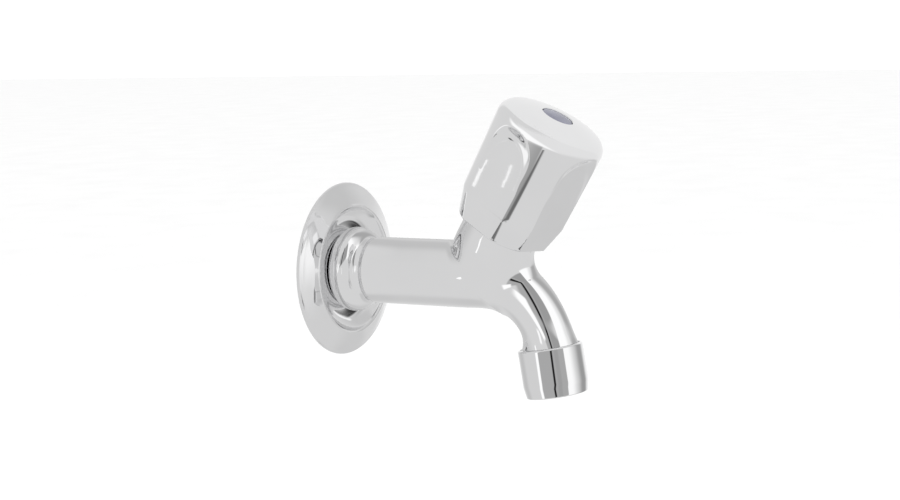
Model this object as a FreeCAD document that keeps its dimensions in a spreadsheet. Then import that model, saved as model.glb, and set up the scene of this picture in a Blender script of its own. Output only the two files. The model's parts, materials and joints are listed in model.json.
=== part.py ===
import FreeCAD, Part
import math
import os
import sys

import Sketcher

# Bib tap, 15 mm size: wall flange, straight tube, leaning neck with a
# non-rising screw-down headwork, hollow knob, short spout with an aerator.
#
# Row frame, millimetres: +Z up, the wall is the plane y = 0, the tap stands
# out of it towards -Y, x = 0 is its plane of symmetry.  The origin is where
# the inlet's axis meets the wall.
#
# Three local frames carry the turned pieces, each with its own z axis:
#   inlet     z = world Y, from the wall's plane
#   headwork  z leans head_lean degrees from vertical, away from the wall
#   outlet    z leans outlet_lean degrees, from the aerator's top face, up

V = FreeCAD.Vector
doc = FreeCAD.newDocument("bib_tap")
sheet = doc.addObject("Spreadsheet::Sheet", "Sizes")

SIZES = [
    # inlet and casting
    ("inlet_radius", 10.4775, "G 1/2 thread, radius over its crests"),
    ("inlet_length", 13.0, "length of full thread behind the wall's plane"),
    ("inlet_chamfer", 1.2, "lead-in at the thread's end"),
    ("relief_radius", 9.2, "thread relief next to the bead"),
    ("shoulder_plane", 1.0, "front of the flange's floor, where the bead bears"),
    ("shoulder_radius", 13.0, "bead's radius at its shoulder"),
    ("bead_section", 5.1, "radius of the bead's section"),
    ("bead_end_radius", 13.3, "bead's radius where the groove begins"),
    ("bead_end", 10.35, "distance of that circle from the wall"),
    ("groove_radius", 11.9, "bottom of the groove between bead and tube"),
    ("groove_near", 11.7, "distance of the groove's start from the wall"),
    ("groove_far", 14.1, "distance of the groove's end from the wall"),
    ("groove_fillet", 2.2, "fillet between bead and groove"),
    ("tube_radius", 12.584, "outside radius of the tube"),
    ("tube_start", 15.7, "distance of the tube's first full circle from the wall"),
    ("tube_edge", 1.6, "rounding of the tube's first edge"),
    ("stub_end", 30.0, "end of the turned part of the skin"),
    ("inlet_bore", 7.0, "radius of the waterway in the tube"),
    ("inlet_bore_end", 40.0, "its depth from the wall"),
    ("branch_bore", 5.5, "radius of the passage below the seat"),
    ("branch_drop", 4.3, "how far that passage lies below the tube's axis"),
    ("branch_end", 62.0, "its depth from the wall"),
    # headwork frame
    ("head_reach", 59.604, "distance of the headwork's axis from the wall at z = 0"),
    ("head_lean", 30.16, "lean of the headwork's axis from vertical, degrees"),
    ("neck_radius", 14.3, "outside radius of the neck"),
    ("neck_land_radius", 13.4, "machined land inside the knob's skirt"),
    ("neck_land_start", 20.7, "height of that land"),
    ("neck_top", 24.0, "height of the neck's top face"),
    ("blend_front", 9.0, "blend radius between neck and spout"),
    ("blend_crotch", 3.6, "blend radius between neck and tube"),
    ("partition_level", 4.5, "underside of the wall that carries the seat, below the axis"),
    ("chamber_floor", 2.0, "floor of the valve chamber, below the axis"),
    ("seat_level", 1.0, "top of the seat's ridge, below the axis"),
    ("seat_bore", 5.0, "radius of the seat's hole"),
    ("seat_outer", 6.3, "outside radius of the seat's ridge"),
    ("chamber_radius", 9.3, "radius of the valve chamber"),
    ("neck_thread_radius", 9.9, "radius of the neck's thread at its pitch line"),
    ("neck_thread_start", 12.1, "height where that thread begins"),
    ("seal_recess_radius", 11.7, "recess for the bonnet's seal"),
    ("seal_thickness", 1.0, "thickness of that seal"),
    # spout
    ("passage_radius", 6.4, "radius of the waterway in the spout"),
    ("outlet_reach", 88.411, "distance of the aerator's top centre from the wall"),
    ("outlet_drop", 25.171, "distance of that point below the tube's axis"),
    ("outlet_lean", 8.655, "lean of the outlet's axis from vertical, degrees"),
    ("nipple_radius", 10.85, "radius of the spout's male thread"),
    ("nipple_length", 8.0, "length of that thread"),
    ("nipple_bore", 7.6, "bore of the threaded end"),
    # wall flange
    ("flange_radius", 33.14, "outside radius of the wall flange"),
    ("flange_hole", 10.8, "radius of its hole"),
    ("flange_floor", 18.7, "radius of its flat floor"),
    ("flange_sheet", 1.0, "thickness of its sheet"),
    ("flange_crest_in", 23.85, "inner side of the crest"),
    ("flange_crest_in_height", 4.55, "height of that side"),
    ("flange_crest_out", 25.2, "outer side of the crest"),
    ("flange_crest_out_height", 4.72, "height of that side"),
    ("flange_crest_round", 0.85, "rounding of the crest"),
    ("flange_bowl_round", 6.4, "radius of the bowl's side"),
    ("flange_cone_round", 220.0, "slight crown of the outer band"),
    # bonnet
    ("bonnet_bottom", 8.6, "height of the bonnet's lower end"),
    ("bonnet_nose_radius", 8.8, "radius of its nose"),
    ("bonnet_thread_radius", 9.85, "radius of its thread at the pitch line"),
    ("bonnet_thread_start", 12.4, "height where the thread begins"),
    ("bonnet_flange_radius", 12.6, "radius of its flange"),
    ("bonnet_flange_top", 25.2, "height of that flange's top"),
    ("bonnet_hexagon", 12.702, "corner radius of the 22 mm spanner hexagon"),
    ("bonnet_hexagon_top", 30.2, "height of the hexagon's top"),
    ("bonnet_tower_radius", 8.6, "radius of the upper cylinder"),
    ("bonnet_top", 36.5, "height of the bonnet's top"),
    ("guide_hexagon", 6.986, "corner radius of the 12.1 mm guide for the carrier"),
    ("guide_top", 17.3, "height of that guide's top"),
    ("drum_bore", 7.3, "bore round the spindle's drum"),
    ("drum_bore_top", 28.6, "height of that bore's top"),
    ("stem_bore", 4.55, "bore round the stem"),
    # spindle
    ("drum_radius", 7.22, "radius of the drum"),
    ("drum_bottom", 17.8, "height of the drum's lower face"),
    ("drum_top", 28.0, "height of its upper face"),
    ("stem_radius", 4.5, "radius of the stem"),
    ("stem_groove_radius", 3.0, "bottom of the seal grooves"),
    ("ring_groove_low", 30.4, "start of the lower seal groove"),
    ("ring_groove_high", 33.2, "start of the upper seal groove"),
    ("ring_groove_width", 1.8, "width of each seal groove"),
    ("clip_groove_radius", 3.9, "bottom of the circlip's groove"),
    ("clip_groove", 36.65, "start of that groove"),
    ("clip_groove_width", 0.9, "its width"),
    ("tooth_start", 38.5, "height where the teeth begin"),
    ("tooth_radius", 4.0, "radius over the teeth"),
    ("tooth_depth", 0.45, "depth of the notches"),
    ("tooth_count", 20, "number of teeth"),
    ("spindle_top", 48.0, "height of the spindle's top"),
    ("nut_bore", 3.55, "bore in the drum for the carrier's stud"),
    ("nut_bore_top", 27.0, "height of that bore's end"),
    ("tapping_radius", 2.0, "hole for the knob's screw, M4"),
    ("tapping_bottom", 39.5, "height of that hole's end"),
    # small rings on the stem
    ("ring_section", 0.74, "radius of the seal rings' section"),
    ("ring_pitch", 3.77, "radius of their centre line"),
    ("clip_outer", 5.9, "outside radius of the circlip"),
    ("clip_inner", 3.95, "inside radius"),
    ("clip_thickness", 0.7, "thickness"),
    ("clip_gap", 3.6, "its opening"),
    ("thrust_inner", 4.62, "inside radius of the thrust washer"),
    ("thrust_outer", 7.1, "outside radius"),
    ("thrust_thickness", 0.5, "thickness"),
    # valve carrier
    ("carrier_hexagon", 6.928, "corner radius of the 12 mm hexagon"),
    ("carrier_hexagon_top", 12.6, "height of the hexagon's top, tap closed"),
    ("cup_radius", 8.2, "radius of the cup"),
    ("cup_bottom", 0.6, "height of the cup's lower edge"),
    ("cup_floor", 2.0, "height of the cup's floor"),
    ("cup_top", 3.5, "height of the cup's back"),
    ("cup_recess", 7.6, "radius of the cup's recess"),
    ("stud_radius", 3.5, "radius of the stud at its pitch line"),
    ("stud_top", 22.0, "height of the stud's top, tap closed"),
    ("carrier_tapping", 1.55, "hole for the washer's screw, M3"),
    ("carrier_tapping_top", 9.0, "height of that hole's end"),
    ("washer_radius", 7.5, "radius of the valve washer"),
    ("washer_hole", 1.7, "radius of its hole"),
    ("washer_lift", 0.02, "gap drawn between washer and seat"),
    ("small_head_radius", 3.0, "head of the washer's screw"),
    ("small_head_height", 1.5, "height of that head"),
    ("small_shank_radius", 1.5, "M3 shank"),
    ("small_shank_top", 8.2, "height of the shank's end"),
    # knob
    ("knob_bottom", 20.053, "height of the skirt's edge"),
    ("knob_edge_radius", 16.77, "radius of the flat on that edge"),
    ("knob_low_radius", 17.573, "radius just above the edge"),
    ("knob_low", 20.852, "height of that circle"),
    ("knob_edge_round", 0.80, "rounding of the edge"),
    ("knob_waist_radius", 19.981, "radius where the lower taper ends"),
    ("knob_waist", 30.13, "height of that circle"),
    ("knob_rim_radius", 20.728, "radius below the rim's rounding"),
    ("knob_rim", 61.07, "height of that circle"),
    ("knob_rim_round", 5.0, "rounding of the rim"),
    ("knob_crown_radius", 17.216, "radius where the domed top begins"),
    ("knob_crown", 65.845, "height of that circle"),
    ("knob_dome", 57.86, "radius of the domed top"),
    ("knob_top", 68.465, "height of the dome's middle"),
    ("knob_phase", -9.9, "turn of the knob about its axis, degrees"),
    ("scallop_count", 4, "number of scallops"),
    ("scallop_low_depth", 15.55, "distance of the scallop from the axis at its foot"),
    ("scallop_foot", 19.0, "height of the cutter's foot"),
    ("scallop_waist_depth", 17.63, "its distance where the taper ends"),
    ("scallop_high_depth", 17.68, "its distance where the arch begins"),
    ("scallop_arch", 43.0, "height where the arch begins"),
    ("scallop_end_depth", 21.2, "cutter's distance at its end"),
    ("scallop_end", 59.4, "height of the cutter's end"),
    ("scallop_run_out", 40.0, "radius of the arch's run-out"),
    ("skirt_bore", 14.95, "bore of the skirt"),
    ("skirt_top", 58.0, "height of the hollow's roof"),
    ("post_radius", 8.0, "outside radius of the inner post"),
    ("post_bottom", 38.4, "height of the post's lower end"),
    ("insert_radius", 5.6, "radius of the toothed insert"),
    ("insert_bottom", 38.6, "height of its lower end"),
    ("insert_top", 49.0, "height of its upper end"),
    ("screw_way", 2.3, "hole for the knob's screw"),
    ("head_seat", 53.2, "height of the face under the screw's washer"),
    ("head_way", 4.6, "radius of the well above the screw"),
    ("button_seat", 66.1, "height of the button's ledge"),
    ("button_recess", 5.95, "radius of the button's recess"),
    ("lock_washer_thickness", 0.8, "thickness of the screw's washer"),
    ("lock_washer_outer", 3.8, "its outside radius"),
    ("lock_washer_inner", 2.1, "its inside radius"),
    ("head_radius", 3.6, "head of the knob's screw, M4"),
    ("head_height", 2.7, "height of that head"),
    ("shank_radius", 1.97, "M4 shank"),
    ("shank_bottom", 41.0, "height of the shank's end"),
    ("button_radius", 5.82, "radius of the indice button"),
    ("button_edge", 67.75, "height of its outer edge"),
    ("button_top", 68.33, "height of its middle"),
    ("button_sleeve", 4.5, "outside radius of its sleeve"),
    ("button_sleeve_bore", 3.6, "inside radius of its sleeve"),
    ("button_sleeve_bottom", 61.5, "height of the sleeve's end"),
    # aerator, outlet frame, depths below the shell's top face
    ("shell_radius", 12.0, "outside radius of the aerator's shell"),
    ("shell_edge", 0.5, "bevel of its upper edge"),
    ("shell_taper", 13.8, "depth where it starts to draw in"),
    ("shell_low_radius", 11.39, "radius near its mouth"),
    ("shell_low", 17.5, "depth of that circle"),
    ("shell_mouth_radius", 10.9, "radius of the mouth's flat"),
    ("shell_length", 18.0, "length of the shell"),
    ("shell_thread_radius", 10.95, "radius of its thread at the pitch line"),
    ("shell_thread_end", 9.2, "depth of that thread"),
    ("shell_bore", 10.2, "bore below the thread"),
    ("shell_lip", 9.4, "radius of the mouth"),
    ("shell_lip_depth", 16.9, "depth of the lip's upper face"),
    ("seal_ring_inner", 7.9, "inside radius of the aerator's seal"),
    ("seal_ring_outer", 10.8, "outside radius"),
    ("seal_ring_top", 8.03, "depth of its upper face"),
    ("seal_ring_bottom", 9.17, "depth of its lower face"),
    ("housing_radius", 10.1, "outside radius of the aerator's housing"),
    ("housing_top", 9.2, "depth of its upper end"),
    ("housing_shoulder", 16.87, "depth of the shoulder on the shell's lip"),
    ("housing_nose_radius", 9.3, "radius of its nose"),
    ("housing_bottom", 17.7, "depth of its lower end"),
    ("housing_plate_bore", 8.7, "bore above the jet plate's ledge"),
    ("housing_ledge", 11.45, "depth of that ledge"),
    ("housing_bore", 8.2, "bore below the ledge"),
    ("housing_lip_bore", 7.7, "bore of its lower lip"),
    ("housing_lip_depth", 17.1, "depth of the lower lip"),
    ("jet_plate_radius", 8.65, "radius of the jet plate"),
    ("jet_plate_top", 10.2, "depth of its upper face"),
    ("jet_plate_thickness", 1.2, "thickness"),
    ("jet_hole_radius", 0.55, "radius of its holes"),
    ("jet_outer_pitch", 6.6, "radius of the outer ring of holes"),
    ("jet_outer_count", 16, "holes in the outer ring"),
    ("jet_inner_pitch", 3.9, "radius of the inner ring of holes"),
    ("jet_inner_count", 8, "holes in the inner ring"),
    ("screen_radius", 8.12, "radius of each mesh disc"),
    ("screen_rim", 7.5, "inside radius of its rim"),
    ("screen_wire", 0.25, "width of its wires"),
    ("screen_pitch", 1.25, "distance between wires"),
    ("screen_first", 12.6, "depth of the upper disc"),
    ("screen_second", 13.9, "depth of the lower disc"),
    ("grid_radius", 8.12, "radius of the flow straightener"),
    ("grid_rim", 7.4, "inside radius of its rim"),
    ("grid_web", 0.5, "thickness of its webs"),
    ("grid_pitch", 2.2, "distance between webs"),
    ("grid_top", 15.0, "depth of its upper face"),
    ("grid_bottom", 17.05, "depth of its lower face"),
]

SIZE = {}
for row, (alias, value, what) in enumerate(SIZES, 1):
    sheet.set("A%d" % row, what)
    sheet.set("B%d" % row, str(value))
    sheet.setAlias("B%d" % row, alias)
    SIZE[alias] = float(value)
doc.recompute()


class Q:
    """A length with its value and the formula that gives it from the sheet."""

    def __init__(self, value, text):
        self.value = value
        self.text = text

    def __add__(self, other):
        other = as_q(other)
        return Q(self.value + other.value, "(%s + %s)" % (self.text, other.text))

    def __sub__(self, other):
        other = as_q(other)
        return Q(self.value - other.value, "(%s - %s)" % (self.text, other.text))

    def __mul__(self, other):
        other = as_q(other)
        return Q(self.value * other.value, "(%s * %s)" % (self.text, other.text))

    def __neg__(self):
        return Q(-self.value, "(0 - %s)" % self.text)


def as_q(item):
    if isinstance(item, Q):
        return item
    return Q(float(item), repr(float(item)))


def q(alias):
    return Q(SIZE[alias], "Sizes." + alias)


def cap_radius(half, rise):
    """Radius of the sphere whose cap has that half width and that rise."""
    half, rise = as_q(half), as_q(rise)
    return Q(
        (half.value ** 2 + rise.value ** 2) / (2 * rise.value),
        "(%s * %s + %s * %s) / (2 * %s)" % (half.text, half.text, rise.text, rise.text, rise.text),
    )


def bind(obj, prop, item):
    """Set a size of an object from the sheet."""
    item = as_q(item)
    obj.setExpression(prop, item.text)


FRAMES = {
    "world": FreeCAD.Placement(),
    "inlet": FreeCAD.Placement(V(0, 0, 0), FreeCAD.Rotation(V(1, 0, 0), -90)),
    "headwork": FreeCAD.Placement(
        V(0, -SIZE["head_reach"], 0),
        FreeCAD.Rotation(V(1, 0, 0), SIZE["head_lean"]),
    ),
    "outlet": FreeCAD.Placement(
        V(0, -SIZE["outlet_reach"], -SIZE["outlet_drop"]),
        FreeCAD.Rotation(V(1, 0, 0), -SIZE["outlet_lean"]),
    ),
}
NODES = {}


def node(name, obj, frame="world", spin=0.0):
    """Name a finished sub-part and put it in its frame."""
    obj.Label = name
    turn = FreeCAD.Placement(V(0, 0, 0), FreeCAD.Rotation(V(0, 0, 1), spin))
    obj.Placement = FRAMES[frame].multiply(turn)
    NODES[name] = obj
    return obj


def plane(body, role):
    for feature in body.Origin.OriginFeatures:
        if feature.Role == role:
            return feature
    raise RuntimeError(role)


def sketch_on(body, name, role):
    sketch = body.newObject("Sketcher::SketchObject", name)
    sketch.AttachmentSupport = [(plane(body, role), "")]
    sketch.MapMode = "FlatFace"
    return sketch


def pin_down(sketch, geo, pos, point):
    """Fix one end of a curve at a point given from the sheet."""
    for axis, word, item in ((-2, "DistanceX", point[0]), (-1, "DistanceY", point[1])):
        item = as_q(item)
        if abs(item.value) < 1e-9:
            sketch.addConstraint(Sketcher.Constraint("PointOnObject", geo, pos, axis))
        elif item.value > 0:
            n = sketch.addConstraint(Sketcher.Constraint(word, -1, 1, geo, pos, item.value))
            sketch.setExpression("Constraints[%d]" % n, item.text)
        else:
            n = sketch.addConstraint(Sketcher.Constraint(word, geo, pos, -1, 1, -item.value))
            sketch.setExpression("Constraints[%d]" % n, "0 - " + item.text)


def outline(sketch, points, arcs=None):
    """Closed outline through points; arcs[i] = (radius, side) rounds side i.

    side +1 puts the arc's centre to the left of the way from point i to the
    next one, and -1 to its right.
    """
    arcs = arcs or {}
    flat = [(as_q(a).value, as_q(b).value) for a, b in points]
    count = len(flat)
    ends = []
    for i in range(count):
        (x0, y0), (x1, y1) = flat[i], flat[(i + 1) % count]
        if i in arcs:
            radius, side = arcs[i]
            r = as_q(radius).value
            dx, dy = x1 - x0, y1 - y0
            chord = math.hypot(dx, dy)
            rise = math.sqrt(r * r - chord * chord / 4.0) * side
            cx = (x0 + x1) / 2.0 - dy / chord * rise
            cy = (y0 + y1) / 2.0 + dx / chord * rise
            a0 = math.atan2(y0 - cy, x0 - cx)
            a1 = math.atan2(y1 - cy, x1 - cx)
            if side < 0:
                a0, a1 = a1, a0
            if a1 < a0:
                a1 += 2 * math.pi
            circle = Part.Circle(V(cx, cy, 0), V(0, 0, 1), r)
            geo = sketch.addGeometry(Part.ArcOfCircle(circle, a0, a1), False)
            ends.append((geo, 1, 2) if side > 0 else (geo, 2, 1))
        else:
            line = Part.LineSegment(V(x0, y0, 0), V(x1, y1, 0))
            ends.append((sketch.addGeometry(line, False), 1, 2))
    for i in range(count):
        geo, _, last = ends[i]
        after, first, _ = ends[(i + 1) % count]
        sketch.addConstraint(Sketcher.Constraint("Coincident", geo, last, after, first))
    for i in range(count):
        pin_down(sketch, ends[i][0], ends[i][1], points[i])
    for i, (radius, _) in arcs.items():
        item = as_q(radius)
        n = sketch.addConstraint(Sketcher.Constraint("Radius", ends[i][0], item.value))
        sketch.setExpression("Constraints[%d]" % n, item.text)


def turned(name, points, arcs=None):
    """A body turned about its z axis from an outline in (radius, height)."""
    body = doc.addObject("PartDesign::Body", name)
    sketch = sketch_on(body, name + "_profile", "XZ_Plane")
    outline(sketch, points, arcs)
    turn = body.newObject("PartDesign::Revolution", name + "_turning")
    turn.Profile = sketch
    turn.ReferenceAxis = (sketch, ["V_Axis"])
    turn.Angle = 360.0
    doc.recompute()
    if body.Shape.isNull() or not body.Shape.isValid():
        raise RuntimeError("turning failed: " + name)
    return body


def pocket(body, name, role, points, arcs, low, high, repeat=None, both=0.0):
    """Cut an outline through a body and repeat the cut round its z axis."""
    before = body.Shape.Volume
    sketch = sketch_on(body, name + "_profile", role)
    outline(sketch, points, arcs)
    cut = body.newObject("PartDesign::Pocket", name)
    cut.Profile = sketch
    if both:
        cut.Midplane = True
        cut.Length = both
    else:
        sketch.AttachmentOffset = FreeCAD.Placement(V(0, 0, as_q(high).value), FreeCAD.Rotation())
        bind(sketch, ".AttachmentOffset.Base.z", high)
        bind(cut, "Length", as_q(high) - as_q(low))
    doc.recompute()
    if body.Shape.Volume > before - 1e-6:
        cut.Reversed = not cut.Reversed
        doc.recompute()
    if body.Shape.Volume > before - 1e-6:
        raise RuntimeError("nothing was cut: " + name)
    if repeat is not None:
        once = body.Shape.Volume
        ring = body.newObject("PartDesign::PolarPattern", name + "_ring")
        ring.Originals = [cut]
        for feature in body.Origin.OriginFeatures:
            if feature.Role == "Z_Axis":
                ring.Axis = (feature, [""])
        ring.Angle = 360.0
        bind(ring, "Occurrences", repeat)
        body.Tip = ring
        doc.recompute()
        if body.Shape.Volume > once - 1e-6:
            raise RuntimeError("the pattern didn't count: " + name)
    return cut


def cylinder(name, radius, low, high):
    obj = doc.addObject("Part::Cylinder", name)
    bind(obj, "Radius", radius)
    bind(obj, "Height", as_q(high) - as_q(low))
    obj.Placement.Base = V(0, 0, as_q(low).value)
    bind(obj, ".Placement.Base.z", low)
    return obj


def hexagon(name, corner, low, high):
    obj = doc.addObject("Part::Prism", name)
    obj.Polygon = 6
    bind(obj, "Circumradius", corner)
    bind(obj, "Height", as_q(high) - as_q(low))
    obj.Placement.Base = V(0, 0, as_q(low).value)
    bind(obj, ".Placement.Base.z", low)
    return obj


def fuse(name, parts):
    obj = doc.addObject("Part::MultiFuse", name)
    obj.Shapes = parts
    return obj


def cut(name, base, tool):
    obj = doc.addObject("Part::Cut", name)
    obj.Base = base
    obj.Tool = tool
    return obj


# ---------------------------------------------------------------- tap body
# Turned end of the casting: thread, relief, bead against the flange's floor,
# groove, and the start of the tube.  z = world y, so in front is negative.
stub = turned(
    "casting_stub",
    [
        (0, -q("stub_end")),
        (q("tube_radius"), -q("stub_end")),
        (q("tube_radius"), -q("tube_start")),
        (q("groove_radius"), -q("groove_far")),
        (q("groove_radius"), -q("groove_near")),
        (q("bead_end_radius"), -q("bead_end")),
        (q("shoulder_radius"), -q("shoulder_plane")),
        (q("relief_radius"), -q("shoulder_plane")),
        (q("relief_radius"), 0),
        (q("inlet_radius"), 0),
        (q("inlet_radius"), q("inlet_length")),
        (q("inlet_radius") - q("inlet_chamfer"), q("inlet_length") + q("inlet_chamfer")),
        (0, q("inlet_length") + q("inlet_chamfer")),
    ],
    {2: (q("tube_edge"), 1), 4: (q("groove_fillet"), -1), 5: (q("bead_section"), 1)},
)
stub.Placement = FRAMES["inlet"]

# Tube, spout and neck as one smooth skin.  The spout's centre line, from the
# tube to the aerator, and its radius there, in the plane of symmetry.
SPOUT = [
    (-50.0, 0.0, None),
    (-54.0, 0.0, None),
    (-58.5, -0.25, 12.30),
    (-63.04, -0.95, 11.67),
    (-69.35, -2.44, 10.90),
    (-74.56, -4.76, 10.22),
    (-78.77, -7.68, 9.67),
    (-82.09, -11.0, 9.30),
    (-84.61, -14.49, 9.10),
    (-86.45, -17.94, 9.12),
    (-87.70, -21.15, 9.40),
]
# The neck's sections: height on the headwork's axis, half width across the
# tap, half length in the plane of symmetry.
NECK = [(0.0, 11.7, 13.8), (5.0, 12.9, 14.3), (10.0, 14.0, 14.45), (15.0, 14.4, 14.4)]


def ring_wire(centre, normal, radius, across):
    circle = Part.Circle(centre, normal, radius)
    circle.XAxis = across
    return Part.Wire([Part.Edge(circle)])


def stations(first, radius_of):
    wires = []
    out = math.radians(SIZE["outlet_lean"])
    path = [(y, z, SIZE["tube_radius"] if r is None else r) for y, z, r in SPOUT]
    path.append((-SIZE["outlet_reach"], -SIZE["outlet_drop"], 10.35))
    for i in range(first, len(path)):
        y, z, r = path[i]
        before, after = path[max(i - 1, 0)], path[min(i + 1, len(path) - 1)]
        way = V(0, after[0] - before[0], after[1] - before[1])
        if i == 0:
            way = V(0, -1, 0)
        if i == len(path) - 1:
            way = V(0, -math.sin(out), -math.cos(out))
        way.normalize()
        wires.append(ring_wire(V(0, y, z), way, radius_of(r), way.cross(V(1, 0, 0))))
    return wires


def casting_skin():
    lean = math.radians(SIZE["head_lean"])
    root = V(0, -SIZE["head_reach"], 0)
    up = V(0, -math.sin(lean), math.cos(lean))
    back = V(0, math.cos(lean), math.sin(lean))
    side = V(1, 0, 0)
    spout = Part.makeLoft(stations(0, lambda r: r), True, False)
    start = -SIZE["stub_end"]
    tube = Part.makeCylinder(SIZE["tube_radius"], SPOUT[0][0] * -1 + start, V(0, start, 0), V(0, -1, 0))
    rings = []
    for height, wide, deep in NECK + [(SIZE["neck_top"], SIZE["neck_radius"], SIZE["neck_radius"])]:
        c = root + up * height
        if abs(wide - deep) < 1e-6:
            rings.append(ring_wire(c, up, wide, back))
        else:
            rings.append(Part.Wire([Part.Edge(Part.Ellipse(c + back * deep, c + side * wide, c))]))
    neck = Part.makeLoft(rings, True, False)
    whole = tube.fuse([spout, neck]).removeSplitter()
    half = whole.common(Part.makeBox(60, 200, 200, V(0, -150, -100))).removeSplitter()
    seam = []
    for edge in half.Edges:
        faces = half.ancestorsOfType(edge, Part.Face)
        if (
            len(edge.Vertexes) == 2
            and all(abs(v.Point.x) < 1e-3 for v in edge.Vertexes)
            and 40 < edge.Length < 60
            and all(f.Surface.TypeId == "Part::GeomBSplineSurface" for f in faces)
        ):
            seam.append(edge)
    if len(seam) != 1:
        raise RuntimeError("the neck's joint line wasn't found")
    # the edge runs from the spout side to the tube side
    front_first = seam[0].Vertexes[0].Point.y < seam[0].Vertexes[-1].Point.y
    sizes = (SIZE["blend_front"], SIZE["blend_crotch"])
    if not front_first:
        sizes = sizes[::-1]
    half = half.makeFillet(sizes[0], sizes[1], seam)
    other = half.mirror(V(0, 0, 0), V(1, 0, 0))
    skin = half.fuse(other).removeSplitter()
    if not skin.isValid() or len(skin.Solids) != 1:
        raise RuntimeError("the casting's skin failed")
    return skin


skin = doc.addObject("Part::Feature", "casting_skin")
skin.Shape = casting_skin()

# male thread at the end of the spout
nipple = cylinder("spout_thread", q("nipple_radius"), -q("nipple_length"), -as_q(0.3))
nipple_holder = fuse("spout_end", [nipple, cylinder("spout_root", 9.6, -as_q(4.0), 0.6)])
nipple_holder.Placement = FRAMES["outlet"]
outside = fuse("casting_outside", [stub, skin, nipple_holder])

# waterway: tube, passage under the seat, seat, chamber, neck thread, spout
way_tube = cylinder("way_tube", q("inlet_bore"), -q("inlet_bore_end"), as_q(20))
way_tube_holder = fuse("way_inlet", [way_tube, cylinder("way_lead", q("inlet_bore") + 0.4, q("inlet_length"), as_q(20))])
way_tube_holder.Placement = FRAMES["inlet"]

branch = doc.addObject("Part::Cylinder", "way_branch")
bind(branch, "Radius", q("branch_bore"))
bind(branch, "Height", q("branch_end") - q("inlet_bore_end") + 2)
branch.Placement = FreeCAD.Placement(
    V(0, -SIZE["inlet_bore_end"] + 2, -SIZE["branch_drop"]), FreeCAD.Rotation(V(1, 0, 0), 90)
)
bind(branch, ".Placement.Base.y", as_q(2) - q("inlet_bore_end"))
bind(branch, ".Placement.Base.z", -q("branch_drop"))

partition = doc.addObject("Part::Box", "seat_wall")
partition.Length = 60
partition.Width = 60
partition.Height = 60
partition.Placement = FRAMES["headwork"].multiply(
    FreeCAD.Placement(V(-30, -30, -SIZE["partition_level"]), FreeCAD.Rotation())
)
way_branch = cut("way_under_seat", branch, partition)

chamber = turned(
    "way_chamber",
    [
        (0, -q("partition_level") - 1),
        (q("seat_bore"), -q("partition_level") - 1),
        (q("seat_bore"), -q("seat_level") - 0.4),
        (q("seat_bore") + 0.4, -q("seat_level")),
        (q("seat_outer"), -q("seat_level")),
        (q("seat_outer") + 0.3, -q("chamber_floor")),
        (q("chamber_radius"), -q("chamber_floor")),
        (q("chamber_radius"), q("neck_thread_start") - 0.6),
        (q("neck_thread_radius"), q("neck_thread_start")),
        (q("neck_thread_radius"), q("neck_top") - q("seal_thickness")),
        (q("seal_recess_radius"), q("neck_top") - q("seal_thickness")),
        (q("seal_recess_radius"), q("neck_top") + 2),
        (0, q("neck_top") + 2),
    ],
)
chamber.Placement = FRAMES["headwork"]

# land turned on the neck inside the knob's skirt
land = turned(
    "neck_land",
    [
        (q("neck_land_radius"), q("neck_land_start")),
        (q("neck_radius") + 4, q("neck_land_start")),
        (q("neck_radius") + 4, q("neck_top") + 2),
        (q("neck_land_radius") - 0.6, q("neck_top") + 2),
        (q("neck_land_radius") - 0.6, q("neck_top")),
        (q("neck_land_radius"), q("neck_top") - 0.6),
    ],
)
land.Placement = FRAMES["headwork"]

passage = doc.addObject("Part::Feature", "way_spout")
passage.Shape = Part.makeLoft(stations(4, lambda r: SIZE["passage_radius"]), True, False)
mouth = turned(
    "way_outlet",
    [
        (0, -q("nipple_length") - 2),
        (q("nipple_bore"), -q("nipple_length") - 2),
        (q("nipple_bore"), -as_q(1.5)),
        (q("passage_radius") - 0.05, 1),
        (0, 1),
    ],
)
mouth.Placement = FRAMES["outlet"]
waterway = fuse("waterway", [way_tube_holder, way_branch, chamber, passage, mouth])
doc.recompute()
tap_body = cut("tap_body", cut("casting_with_land", outside, land), waterway)
node("tap_body", tap_body)

# ------------------------------------------------------------- wall flange
sheet_t = q("flange_sheet")
node(
    "wall_flange",
    turned(
        "wall_flange",
        [
            (q("flange_hole"), 0),
            (q("flange_hole"), -sheet_t),
            (q("flange_floor"), -sheet_t),
            (q("flange_crest_in"), -q("flange_crest_in_height")),
            (q("flange_crest_out"), -q("flange_crest_out_height")),
            (q("flange_radius") - 0.5, -as_q(1.15)),
            (q("flange_radius"), -as_q(0.45)),
            (q("flange_radius"), 0),
            (q("flange_radius") - 1.1, 0),
            (q("flange_crest_out") - 0.1, -q("flange_crest_out_height") + sheet_t + 0.15),
            (q("flange_crest_in") + 0.75, -q("flange_crest_in_height") + sheet_t),
            (q("flange_floor") + 0.35, 0),
        ],
        {
            2: (q("flange_bowl_round"), -1),
            3: (q("flange_crest_round"), 1),
            4: (q("flange_cone_round"), 1),
            5: (0.75, 1),
            10: (q("flange_bowl_round") - 0.5, 1),
        },
    ),
    "inlet",
)

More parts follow.
